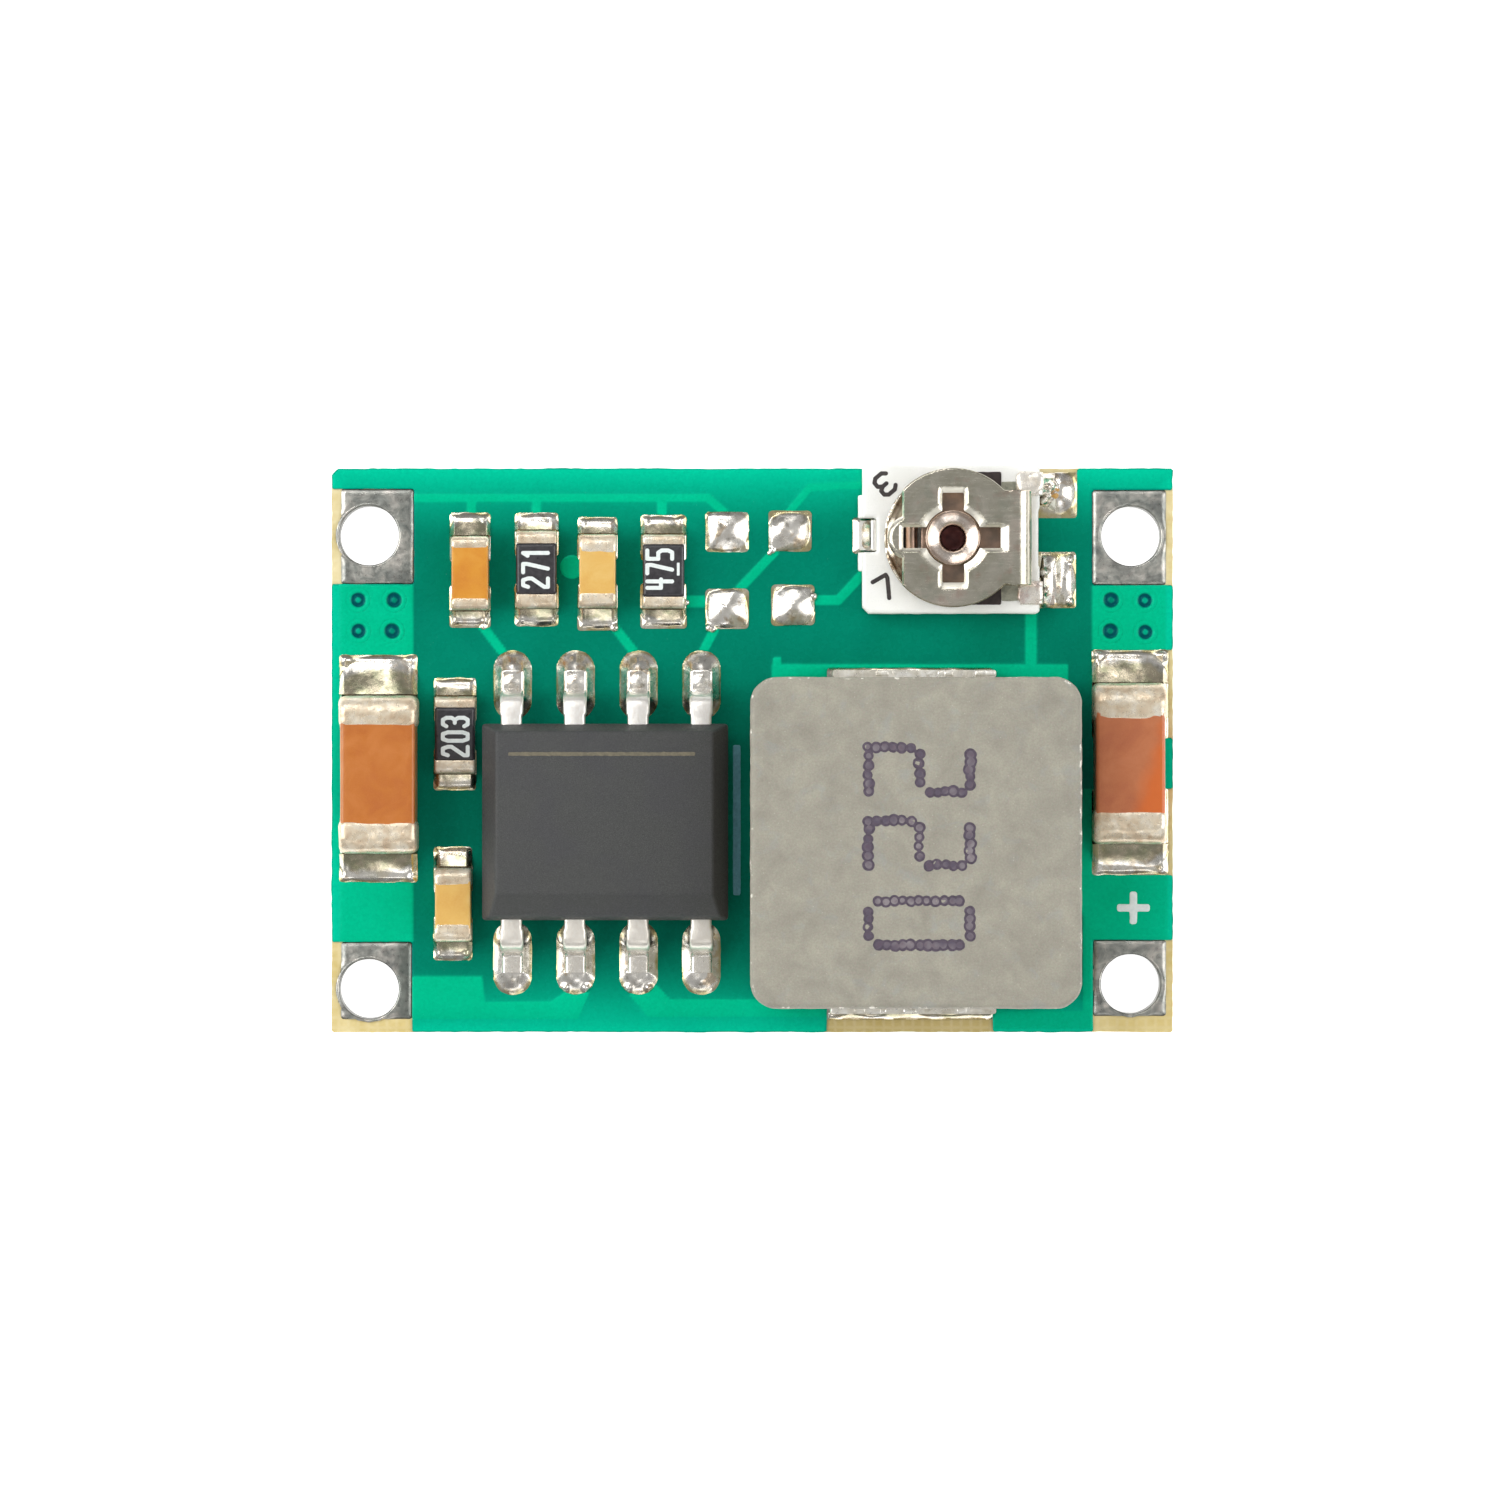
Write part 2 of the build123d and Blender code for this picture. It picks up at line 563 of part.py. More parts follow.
# ---------------------------------------------------------------- open trimmer
with BuildPart() as trimmer_wiper_terminal:
    # strip under the base, from the notch on the left to past the axis
    with BuildSketch(Plane.XY.offset(Z_TOP)):
        rect(2.150, TRIM_X, WIPER_Y0 + 0.05, WIPER_Y1 - 0.05)
        with Locations((TRIM_X, TRIM_Y)):
            Circle(0.62)
    extrude(amount=SHEET_T)
    # the strip's end turned up inside the notch
    with BuildSketch(Plane.XY.offset(Z_TOP)):
        rect(2.385, 2.385 + SHEET_T, WIPER_Y0 + 0.03, WIPER_Y1 - 0.03)
    extrude(amount=1.34 - Z_TOP)
    # drawn eyelet with its flared rim, one revolved section
    with BuildSketch(Plane.XZ.offset(-TRIM_Y)):
        Polygon(
            (TRIM_X + EYELET_BORE_R, Z_TOP), (TRIM_X + EYELET_R, Z_TOP),
            (TRIM_X + EYELET_R, 1.700), (TRIM_X + 0.400, 1.760), (TRIM_X + 0.500, 1.830),
            (TRIM_X + EYELET_FLARE_R, 1.900), (TRIM_X + EYELET_FLARE_R - 0.03, 1.935),
            (TRIM_X + 0.450, 1.905), (TRIM_X + 0.350, 1.850), (TRIM_X + 0.270, 1.800),
            (TRIM_X + EYELET_BORE_R, 1.730),
            align=None,
        )
    revolve(axis=Axis((TRIM_X, TRIM_Y, 0), (0, 0, 1)), revolution_arc=360)
    # the drawn cup keeps a thin floor
    with BuildSketch(Plane.XY.offset(Z_TOP + 0.05)):
        with Locations((TRIM_X, TRIM_Y)):
            Circle(EYELET_BORE_R)
    extrude(amount=0.4, mode=Mode.SUBTRACT)
trimmer_wiper_terminal.part.label = "trimmer_wiper_terminal"
export_step(trimmer_wiper_terminal.part, "parts/trimmer_wiper_terminal.step")

CLIP_YS = ((5.12, 5.60), (2.93, 3.40))
TERM_T = 0.07
with BuildPart() as trimmer_end_terminals:
    for y0, y1 in CLIP_YS:
        # hook over the base's edge: tab on top, wall down the side, foot on the pad
        with BuildSketch(Plane.XZ.offset(-y1)):
            Polygon(
                (5.36, TB_Z1), (5.36, TB_Z1 + TERM_T), (TB_X1 + 0.045, TB_Z1 + TERM_T),
                (TB_X1 + TERM_T, TB_Z1 + 0.045), (TB_X1 + TERM_T, Z_TOP + TERM_T),
                (6.10, Z_TOP + TERM_T), (6.10, Z_TOP), (5.20, Z_TOP), (5.20, Z_TOP + TERM_T - 0.01),
                (TB_X1, Z_TOP + TERM_T - 0.01), (TB_X1, TB_Z1),
                align=None,
            )
        extrude(amount=y1 - y0)
trimmer_end_terminals.part.label = "trimmer_end_terminals"
export_step(trimmer_end_terminals.part, "parts/trimmer_end_terminals.step")

with BuildPart() as trimmer_base:
    with BuildSketch(Plane.XY.offset(TB_Z0)):
        x0, x1, y0, y1, c = TB_X0, TB_X1, TB_Y0, TB_Y1, 0.13
        Polygon((x0 + c, y0), (x1 - 0.06, y0), (x1, y0 + 0.06), (x1, y1 - 0.06), (x1 - 0.06, y1),
                (x0 + 0.06, y1), (x0, y1 - 0.06), (x0, y0 + c), align=None)
        # recesses between the clips on the right
        rect(x1 - 0.035, x1 + 0.1, 3.68, 4.85, mode=Mode.SUBTRACT)
    extrude(amount=TB_Z1 - TB_Z0)
    fillet(trimmer_base.faces().sort_by(Axis.Z)[-1].edges(), radius=0.03)
    # low shoulder on the left, either side of the notch
    with BuildSketch(Plane.XY.offset(TB_Z0)):
        rect(2.130, TB_X0 + 0.1, 3.606, 5.136)
    extrude(amount=0.26)
    # notch for the wiper terminal
    with BuildSketch(Plane.XY.offset(TB_Z0 - 0.1)):
        rect(2.0, 2.385 + SHEET_T, WIPER_Y0, WIPER_Y1)
    extrude(amount=1.0, mode=Mode.SUBTRACT)
    # hole for the eyelet and groove for the strip
    with BuildSketch(Plane.XY.offset(TB_Z0 - 0.1)):
        with Locations((TRIM_X, TRIM_Y)):
            Circle(EYELET_R)
    extrude(amount=1.0, mode=Mode.SUBTRACT)
    with BuildSketch(Plane.XY.offset(TB_Z0 - 0.1)):
        rect(2.0, TRIM_X, WIPER_Y0 + 0.03, WIPER_Y1 - 0.03)
        with Locations((TRIM_X, TRIM_Y)):
            Circle(0.64)
    extrude(amount=0.1 + Z_TOP + SHEET_T + 0.005 - TB_Z0, mode=Mode.SUBTRACT)
    add(trimmer_end_terminals.part, mode=Mode.SUBTRACT)
trimmer_base.part.label = "trimmer_base"
export_step(trimmer_base.part, "parts/trimmer_base.step")

with BuildPart() as trimmer_track:
    with BuildSketch(Plane.XY.offset(TB_Z1)):
        with Locations((TRIM_X, TRIM_Y)):
            Circle(1.36)
            Circle(0.86, mode=Mode.SUBTRACT)
        rect(TRIM_X + 0.55, TB_X1, TB_Y0, TB_Y1, mode=Mode.SUBTRACT)
        rect(TRIM_X + 0.30, TRIM_X + 0.98, TRIM_Y + 0.80, TRIM_Y + 1.335)
        rect(TRIM_X + 0.30, TRIM_X + 0.98, TRIM_Y - 1.335, TRIM_Y - 0.80)
    extrude(amount=0.020)
trimmer_track.part.label = "trimmer_track"
export_step(trimmer_track.part, "parts/trimmer_track.step")

with BuildPart() as trimmer_electrodes:
    with BuildSketch(Plane.XY.offset(TB_Z1)):
        rect(TRIM_X + 0.98, 5.36, 5.04, 5.40)
        rect(TRIM_X + 0.98, 5.36, 3.00, 3.38)
    extrude(amount=0.015)
trimmer_electrodes.part.label = "trimmer_electrodes"
export_step(trimmer_electrodes.part, "parts/trimmer_electrodes.step")

# rotor: driver disc on top, a fold on the right and the wiper leaf beneath, one sheet
with BuildPart() as trimmer_rotor:
    with BuildSketch(Plane.XY.offset(DISC_Z1 - SHEET_T)):
        with Locations((TRIM_X, TRIM_Y)):
            Circle(DISC_R)
        rect(TRIM_X, TRIM_X + FOLD_X, TRIM_Y - FOLD_HALF_W, TRIM_Y + FOLD_HALF_W)
        # flat on the left, with a rounded pointer in its middle
        rect(TRIM_X - 1.6, TRIM_X - 1.02, TRIM_Y - 1.3, TRIM_Y + 1.3, mode=Mode.SUBTRACT)
        with Locations((TRIM_X - 0.90, TRIM_Y)):
            Ellipse(0.415, 0.44)
    extrude(amount=SHEET_T)
    with BuildSketch(Plane.XY.offset(DISC_Z1 - SHEET_T - 0.01)):
        with Locations((TRIM_X, TRIM_Y)):
            Circle(0.575)
            Rectangle(2 * SLOT_HALF_W, 1.80)
        rect(TRIM_X - 1.00, TRIM_X + 0.957, TRIM_Y - SLOT_HALF_W, TRIM_Y + SLOT_HALF_W)
    extrude(amount=SHEET_T + 0.02, mode=Mode.SUBTRACT)
    rim = trimmer_rotor.faces().sort_by(Axis.Z)[-1].inner_wires()[0].edges()
    chamfer(rim, length=0.07, length2=0.075)
    with BuildSketch(Plane.XY.offset(LEAF_Z0)):
        with Locations((TRIM_X, TRIM_Y)):
            Circle(LEAF_R)
        rect(TRIM_X, TRIM_X + FOLD_X, TRIM_Y - FOLD_HALF_W, TRIM_Y + FOLD_HALF_W)
        with Locations((TRIM_X, TRIM_Y)):
            Circle(EYELET_R + 0.03, mode=Mode.SUBTRACT)
        # slits that free the wiper finger
        rect(TRIM_X - 1.00, TRIM_X - 0.95, TRIM_Y - 0.50, TRIM_Y + 0.50, mode=Mode.SUBTRACT)
        rect(TRIM_X - 0.70, TRIM_X - 0.64, TRIM_Y - 0.50, TRIM_Y + 0.50, mode=Mode.SUBTRACT)
    extrude(amount=SHEET_T)
    with BuildSketch(Plane.XZ.offset(-(TRIM_Y + FOLD_HALF_W))):
        with Locations((TRIM_X + FOLD_X, (DISC_Z1 + LEAF_Z0) / 2)):
            Circle(FOLD_R)
            Circle(FOLD_R - SHEET_T, mode=Mode.SUBTRACT)
        rect(TRIM_X + FOLD_X - 1, TRIM_X + FOLD_X, LEAF_Z0 - 0.2, DISC_Z1 + 0.2, mode=Mode.SUBTRACT)
    extrude(amount=2 * FOLD_HALF_W)
    # contact pips that ride on the track
    with Locations((TRIM_X - 1.16, TRIM_Y, LEAF_Z0 + 0.02), (TRIM_X - 0.87, TRIM_Y, LEAF_Z0 + 0.02)):
        Sphere(0.075)
trimmer_rotor.part.label = "trimmer_rotor"
export_step(trimmer_rotor.part, "parts/trimmer_rotor.step")


# ---------------------------------------------------------------- solder
def fillet_profile(y_in, y_face, y_out, rise):
    """Section of one joint: film under the part, a concave slope from its end to the pad's edge."""
    mid = (y_face + 0.42 * (y_out - y_face), Z_TOP + 0.36 * rise)
    with BuildLine() as outline:
        Polyline((y_out, Z_TOP - 0.004), (y_out, Z_CU1), (y_in, Z_CU1), (y_in, Z_TOP), (y_face, Z_TOP),
                 (y_face, Z_TOP + rise))
        ThreePointArc((y_face, Z_TOP + rise), mid, (y_out, Z_TOP - 0.004))
    make_face(outline.edges())


for name, (cx, cy, w, l, h, t), (x0, x1), (y_up, y_lo) in (
    ("solder_input_capacitor", CIN, (-8.300, -6.780), (1.905, -2.640)),
    ("solder_output_capacitor", COUT, (6.870, 8.375), (2.005, -2.500)),
):
    with BuildPart() as joint:
        with BuildSketch(Plane.YZ.offset(x0)):
            fillet_profile(cy + l / 2 - t - 0.10, cy + l / 2, y_up, 0.60)
        extrude(amount=x1 - x0)
        with BuildSketch(Plane.YZ.offset(x0)):
            fillet_profile(cy - l / 2 + t + 0.10, cy - l / 2, y_lo, 0.55)
        extrude(amount=x1 - x0)
    joint.part.label = name
    export_step(joint.part, f"parts/{name}.step")

with BuildPart() as solder_chip_parts:
    chips = [(s, 0.46) for s in CHIP_CAPS.values()] + [(s, 0.30) for s in CHIP_RESISTORS.values()]
    for (cx, cy, w, l, t, x0, x1, y0, y1), rise in chips:
        for y_in, y_face, y_out in (
            (cy + l / 2 - 0.50, cy + l / 2, y1 - 0.015),
            (cy - l / 2 + 0.50, cy - l / 2, y0 + 0.015),
        ):
            with BuildSketch(Plane.YZ.offset(x0 + 0.015)):
                fillet_profile(y_in, y_face, y_out, rise)
            extrude(amount=x1 - x0 - 0.03)
solder_chip_parts.part.label = "solder_chip_parts"
export_step(solder_chip_parts.part, "parts/solder_chip_parts.step")

with BuildPart() as solder_regulator:
    for y0, y1 in (UP_PAD, LO_PAD):
        for x in LEAD_XS:
            with BuildSketch(Plane.XY.offset(Z_CU1)):
                with Locations((x, (y0 + y1) / 2)):
                    SlotOverall(y1 - y0, LEAD_PAD_W, rotation=90)
            extrude(amount=Z_TOP - Z_CU1)
            # mound round the foot, high at its toe
            y_c = y1 - 0.50 if y0 > 0 else y0 + 0.50
            with BuildSketch(Plane.XY.offset(Z_TOP)):
                with Locations((x, y_c)):
                    SlotOverall(0.96, LEAD_PAD_W - 0.04, rotation=90)
            extrude(amount=0.20, taper=35)
    add(regulator_leads.part, mode=Mode.SUBTRACT)
solder_regulator.part.label = "solder_regulator"
export_step(solder_regulator.part, "parts/solder_regulator.step")

with BuildPart() as solder_inductor:
    with BuildSketch(Plane.YZ.offset(1.525)):
        fillet_profile(0.320, IND_Y + HALF + CLIP_T, 1.650, 0.10)
        fillet_profile(-4.000, IND_Y - HALF - CLIP_T, -5.420, 0.16)
    extrude(amount=3.315)
    add(inductor_terminals.part, mode=Mode.SUBTRACT)
solder_inductor.part.label = "solder_inductor"
export_step(solder_inductor.part, "parts/solder_inductor.step")

with BuildPart() as solder_trimmer:
    for y0, y1 in ((4.70, 5.585), (2.885, 3.985)):
        with BuildSketch(Plane.XZ.offset(-y1)):
            fillet_profile(5.32, TB_X1 + TERM_T, 6.52, 0.42)
        extrude(amount=y1 - y0)
    with BuildSketch(Plane.XY.offset(Z_CU1)):
        rect(2.035, 2.69, WIPER_Y0, WIPER_Y1)
    extrude(amount=Z_TOP - Z_CU1)
    with BuildSketch(Plane.XZ.offset(-(WIPER_Y1 - 0.06))):
        fillet_profile(2.600, 2.384, 2.04, 0.30)
    extrude(amount=WIPER_Y1 - WIPER_Y0 - 0.12)
    add(trimmer_end_terminals.part, mode=Mode.SUBTRACT)
    add(trimmer_wiper_terminal.part, mode=Mode.SUBTRACT)
    add(trimmer_base.part, mode=Mode.SUBTRACT)
solder_trimmer.part.label = "solder_trimmer"
export_step(solder_trimmer.part, "parts/solder_trimmer.step")

with BuildPart() as solder_spare_pads:
    for x, y in SPARE_PADS:
        with BuildSketch(Plane.XY.offset(Z_CU1)):
            with Locations((x, y)):
                RectangleRounded(SPARE_W - 0.02, SPARE_L - 0.02, 0.06)
        extrude(amount=0.05)
        with BuildSketch(Plane.XY.offset(Z_CU1 + 0.05)):
            with Locations((x, y)):
                RectangleRounded(SPARE_W - 0.02, SPARE_L - 0.02, 0.06)
        extrude(amount=0.21, taper=48)
solder_spare_pads.part.label = "solder_spare_pads"
export_step(solder_spare_pads.part, "parts/solder_spare_pads.step")
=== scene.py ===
import math
import random

import bpy
import bmesh
import numpy as np
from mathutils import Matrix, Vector


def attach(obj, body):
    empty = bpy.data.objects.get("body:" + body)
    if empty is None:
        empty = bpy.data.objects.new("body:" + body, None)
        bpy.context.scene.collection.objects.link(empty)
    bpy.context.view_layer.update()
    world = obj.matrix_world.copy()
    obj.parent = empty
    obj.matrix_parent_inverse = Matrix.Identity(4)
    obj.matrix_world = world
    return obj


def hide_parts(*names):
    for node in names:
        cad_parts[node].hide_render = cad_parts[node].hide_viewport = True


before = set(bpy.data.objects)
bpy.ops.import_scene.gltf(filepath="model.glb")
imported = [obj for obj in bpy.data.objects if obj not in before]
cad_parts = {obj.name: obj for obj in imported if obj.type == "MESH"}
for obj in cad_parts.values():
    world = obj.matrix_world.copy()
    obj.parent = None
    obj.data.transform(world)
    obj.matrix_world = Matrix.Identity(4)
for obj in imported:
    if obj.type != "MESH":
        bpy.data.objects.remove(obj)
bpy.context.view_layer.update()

scene = bpy.context.scene
scene.view_settings.view_transform = "Standard"
MM = 0.001
random.seed(7)

# ------------------------------------------------------------------ camera: straight down, 175 mm above the board
cam_data = bpy.data.cameras.new("camera")
cam_data.angle = 2 * math.atan(15.133 / 175)
cam_data.clip_start = 0.001
cam_data.clip_end = 10
camera = bpy.data.objects.new("camera", cam_data)
camera.location = (-0.0000454, 0.000005, 0.1758)
camera.rotation_euler = (0, 0, 0)
scene.collection.objects.link(camera)
scene.camera = camera


# ------------------------------------------------------------------ materials
def lin(r, g, b):
    """0-255 display colour to linear."""
    out = []
    for c in (r, g, b):
        c = c / 255
        out.append(c / 12.92 if c <= 0.04045 else ((c + 0.055) / 1.055) ** 2.4)
    return (*out, 1.0)


class Mat:
    """A principled material whose nodes work in millimetres of the row frame."""

    def __init__(self, name, metallic=0.0, specular=0.5, coat=0.0, coat_rough=0.1):
        self.m = bpy.data.materials.new(name)
        self.m.use_nodes = True
        self.nt = self.m.node_tree
        self.nt.nodes.clear()
        self.out = self.add("ShaderNodeOutputMaterial")
        self.b = self.add("ShaderNodeBsdfPrincipled")
        self.nt.links.new(self.b.outputs[0], self.out.inputs[0])
        self.b.inputs["Metallic"].default_value = metallic
        self.b.inputs["Specular IOR Level"].default_value = specular
        self.b.inputs["Coat Weight"].default_value = coat
        self.b.inputs["Coat Roughness"].default_value = coat_rough
        tc = self.add("ShaderNodeTexCoord")
        sc = self.add("ShaderNodeVectorMath")
        sc.operation = "SCALE"
        sc.inputs["Scale"].default_value = 1000.0
        self.link(tc.outputs["Object"], sc.inputs[0])
        self.mm = sc.outputs[0]

    def add(self, kind):
        return self.nt.nodes.new(kind)

    def link(self, a, b):
        self.nt.links.new(a, b)

    def stretch(self, x, y, z):
        n = self.add("ShaderNodeVectorMath")
        n.operation = "MULTIPLY"
        self.link(self.mm, n.inputs[0])
        n.inputs[1].default_value = (x, y, z)
        return n.outputs[0]

    def noise(self, scale, detail=3.0, rough=0.55, warp=0.0, vec=None):
        n = self.add("ShaderNodeTexNoise")
        n.inputs["Scale"].default_value = scale
        n.inputs["Detail"].default_value = detail
        n.inputs["Roughness"].default_value = rough
        n.inputs["Distortion"].default_value = warp
        self.link(vec if vec is not None else self.mm, n.inputs["Vector"])
        return n.outputs["Fac"]

    def cells(self, scale, feature="F1", vec=None):
        n = self.add("ShaderNodeTexVoronoi")
        n.feature = feature
        n.inputs["Scale"].default_value = scale
        self.link(vec if vec is not None else self.mm, n.inputs["Vector"])
        return n.outputs["Distance"]

    def wave(self, scale, warp=0.0, axis="X", vec=None):
        n = self.add("ShaderNodeTexWave")
        n.bands_direction = axis
        n.inputs["Scale"].default_value = scale
        n.inputs["Distortion"].default_value = warp
        self.link(vec if vec is not None else self.mm, n.inputs["Vector"])
        return n.outputs["Fac"]

    def height(self, axis="Z"):
        n = self.add("ShaderNodeSeparateXYZ")
        self.link(self.mm, n.inputs[0])
        return n.outputs[axis]

    def span(self, value, lo, hi, a=0.0, b=1.0, smooth=False):
        n = self.add("ShaderNodeMapRange")
        if smooth:
            n.interpolation_type = "SMOOTHSTEP"
        n.inputs["From Min"].default_value = lo
        n.inputs["From Max"].default_value = hi
        n.inputs["To Min"].default_value = a
        n.inputs["To Max"].default_value = b
        self.link(value, n.inputs["Value"])
        return n.outputs["Result"]

    def ramp(self, fac, *stops):
        n = self.add("ShaderNodeValToRGB")
        e = n.color_ramp.elements
        while len(e) < len(stops):
            e.new(0.5)
        for i, (pos, col) in enumerate(stops):
            e[i].position = pos
            e[i].color = col
        self.link(fac, n.inputs[0])
        return n.outputs[0]

    def mix(self, fac, a, b, mode="MIX"):
        n = self.add("ShaderNodeMix")
        n.data_type = "RGBA"
        n.blend_type = mode
        for value, socket in ((fac, n.inputs[0]), (a, n.inputs[6]), (b, n.inputs[7])):
            if isinstance(value, (int, float, tuple)):
                socket.default_value = value
            else:
                self.link(value, socket)
        return n.outputs[2]

    def math(self, op, a, b):
        n = self.add("ShaderNodeMath")
        n.operation = op
        for value, socket in ((a, n.inputs[0]), (b, n.inputs[1])):
            if isinstance(value, (int, float)):
                socket.default_value = value
            else:
                self.link(value, socket)
        return n.outputs[0]

    def color(self, socket):
        self.link(socket, self.b.inputs["Base Color"])
        return self

    def rough(self, socket):
        self.link(socket, self.b.inputs["Roughness"])
        return self

    def bump(self, socket, microns, strength=1.0):
        n = self.add("ShaderNodeBump")
        n.inputs["Strength"].default_value = strength
        n.inputs["Distance"].default_value = microns * 1e-6
        self.link(socket, n.inputs["Height"])
        old = self.b.inputs["Normal"].links
        if old:
            self.link(old[0].from_socket, n.inputs["Normal"])
        self.link(n.outputs[0], self.b.inputs["Normal"])
        return self


def green_coating(name, z_low, z_high, top=True):
    """Colour follows the coating's own level: bright over copper, deep over bare laminate, dark in the dimples.

    Near the board's edges the light that the pale laminate lets through makes it brighter.
    """
    m = Mat(name, specular=0.30)
    m.b.inputs["Specular Tint"].default_value = (0.10, 1.0, 0.82, 1.0)
    z = m.height()
    fac = m.span(z, z_low, z_high, smooth=True)
    deep = m.ramp(m.noise(0.30, 2), (0.35, lin(0, 118, 92)), (0.65, lin(0, 130, 104)))
    bright = m.ramp(m.noise(0.6, 2), (0.3, lin(0, 182, 133)), (0.7, lin(0, 192, 144)))
    dx = m.math("SUBTRACT", 8.5, m.math("ABSOLUTE", m.height("X"), 0.0))
    dy = m.math("SUBTRACT", 5.7, m.math("ABSOLUTE", m.height("Y"), 0.0))
    near = m.math("MINIMUM", dx, dy)
    glow = m.span(near, 0.0, 1.5, 1.0, 0.0)
    glow = m.math("POWER", glow, 1.7)
    deep = m.mix(m.math("MULTIPLY", glow, 0.95), deep, lin(0, 206, 162))
    bright = m.mix(m.math("MULTIPLY", glow, 0.55), bright, lin(0, 192, 146))
    col = m.mix(fac, deep, bright)
    # painted shade: a band along the lower edge is a little darker, toning down the painted edge glow there
    col = m.mix(m.span(m.height("Y"), -5.10, -5.45, 0.0, 0.15), col, lin(0, 112, 92))
    if top:
        col = m.mix(m.span(z, 0.785, 0.772), col, lin(0, 70, 80))
    col = m.mix(m.span(m.noise(14, 4), 0.35, 0.75, 0.0, 0.14), col, lin(0, 84, 70))
    dust = m.span(m.noise(26, 2, vec=m.stretch(1, 1, 0)), 0.735, 0.78)
    col = m.mix(m.math("MULTIPLY", dust, 0.35), col, lin(120, 215, 185))
    m.color(col)
    m.rough(m.span(m.noise(5, 4), 0.3, 0.7, 0.20, 0.34))
    m.bump(m.noise(3.2, 3), 5, 0.5)
    m.bump(m.noise(38, 3), 0.9, 0.6)
    return m.m


MASK_TOP = green_coating("green_coating_top", 0.786, 0.7985)
MASK_BOTTOM = green_coating("green_coating_bottom", 0.014, 0.001, top=False)


def laminate():
    m = Mat("glass_epoxy", specular=0.4)
    weave = m.math("MAXIMUM", m.wave(1.6, 0.9, "X"), m.wave(1.6, 0.9, "Y"))
    col = m.ramp(m.noise(1.8, 3), (0.3, lin(208, 188, 124)), (0.7, lin(238, 224, 176)))
    rich = m.math("MULTIPLY", m.span(m.height("Y"), 2.0, -5.6), m.span(m.height("X"), -9.0, 4.0, 0.55, 1.0))
    col = m.mix(m.math("MULTIPLY", rich, 0.50), col, lin(224, 198, 118))
    # painted shade: the laminate is darker in the strip below the inductor, where its shadow falls
    under = m.math("MULTIPLY", m.span(m.height("Y"), -5.15, -5.30), m.span(m.height("X"), 1.3, 1.6))
    under = m.math("MULTIPLY", under, m.span(m.height("X"), 5.2, 4.8))
    col = m.mix(m.math("MULTIPLY", under, 0.55), col, lin(160, 140, 84))
    col = m.mix(m.span(weave, 0.55, 1.0, 0.0, 0.12), col, lin(246, 240, 214))
    fibre = m.wave(9, 2.0, "Z")
    col = m.mix(m.span(fibre, 0.3, 0.9, 0.0, 0.12), col, lin(186, 166, 104))
    m.color(col)
    m.rough(m.span(m.noise(20, 3), 0.3, 0.7, 0.5, 0.75))
    m.bump(weave, 3, 0.6)
    m.bump(m.noise(30, 4), 8, 0.6)
    return m.m


def tinned():
    """Levelled tin: grey, with darker smears, most of them along the pads' inner strips."""
    m = Mat("tinned_pad", metallic=1.0)
    mottle = m.noise(3.2, 5, 0.62, 0.8)
    col = m.ramp(mottle, (0.30, lin(132, 136, 132)), (0.5, lin(178, 178, 171)), (0.72, lin(222, 215, 206)))
    smear = m.noise(1.3, 4, 0.6, 0.9, vec=m.stretch(0.8, 1.5, 1))
    col = m.mix(m.span(smear, 0.50, 0.68, 0.0, 0.50), col, lin(108, 108, 108))
    inner = m.math("MULTIPLY", m.span(m.height("X"), -7.25, -7.05, smooth=True), m.span(m.height("X"), -6.0, -6.4))
    inner = m.math("MULTIPLY", inner, m.span(m.height("Y"), 3.0, -3.0, 0.26, 0.78))
    col = m.mix(inner, col, lin(108, 116, 110))
    col = m.mix(m.span(m.noise(2.2, 3), 0.60, 0.78, 0.0, 0.35), col, lin(158, 136, 132))
    # painted shade: the tin is darker down the walls of the holes
    wall = m.math("MULTIPLY", m.span(m.height(), 0.785, 0.755), m.span(m.height(), 0.03, 0.06))
    col = m.mix(m.math("MULTIPLY", wall, 0.80), col, lin(112, 112, 106))
    m.color(col)
    m.rough(m.span(m.noise(9, 4), 0.3, 0.7, 0.24, 0.46))
    m.bump(m.noise(4, 4, 0.6), 12, 0.7)
    m.bump(m.noise(60, 3), 1.2, 0.5)
    return m.m


def solder(name="solder", climb=None, patch=0.45):
    """Bright reflowed solder; thin rims keep an amber to olive flux tint. A fillet's upper part, next to the part's
    end, is painted olive to tan as shade.
    """
    m = Mat(name, metallic=1.0)
    col = m.ramp(m.noise(2.2, 3), (0.3, lin(232, 226, 216)), (0.7, lin(253, 250, 244)))
    tint = m.span(m.noise(3.6, 2, 0.5, 0.8), 0.55, 0.68, 0.0, patch)
    col = m.mix(tint, col, lin(206, 176, 134))
    col = m.mix(m.span(m.noise(5.0, 2), 0.58, 0.70, 0.0, patch), col, lin(150, 142, 122))
    # painted shade: the fillet's upper part, close to the part's end, turns olive to tan
    if climb:
        high = m.math("ADD", m.height(), m.math("MULTIPLY", m.noise(2.6, 2), 0.16))
        high = m.span(high, climb + 0.08, climb + 0.15, 0.0, 0.85, smooth=True)
        col = m.mix(high, col, m.ramp(m.noise(3.0, 2), (0.4, lin(186, 184, 146)), (0.6, lin(228, 214, 182))))
    rim = m.span(m.height(), 0.842, 0.795, smooth=True)
    rim = m.math("MULTIPLY", rim, m.span(m.noise(2.6, 2), 0.38, 0.56, 0.25, 0.80))
    col = m.mix(rim, col, lin(190, 174, 108))
    m.color(col)
    m.rough(m.span(m.noise(7, 3), 0.35, 0.7, 0.15, 0.32))
    m.bump(m.noise(4, 3), 9, 0.6)
    m.bump(m.noise(22, 3), 1.4, 0.6)
    return m.m


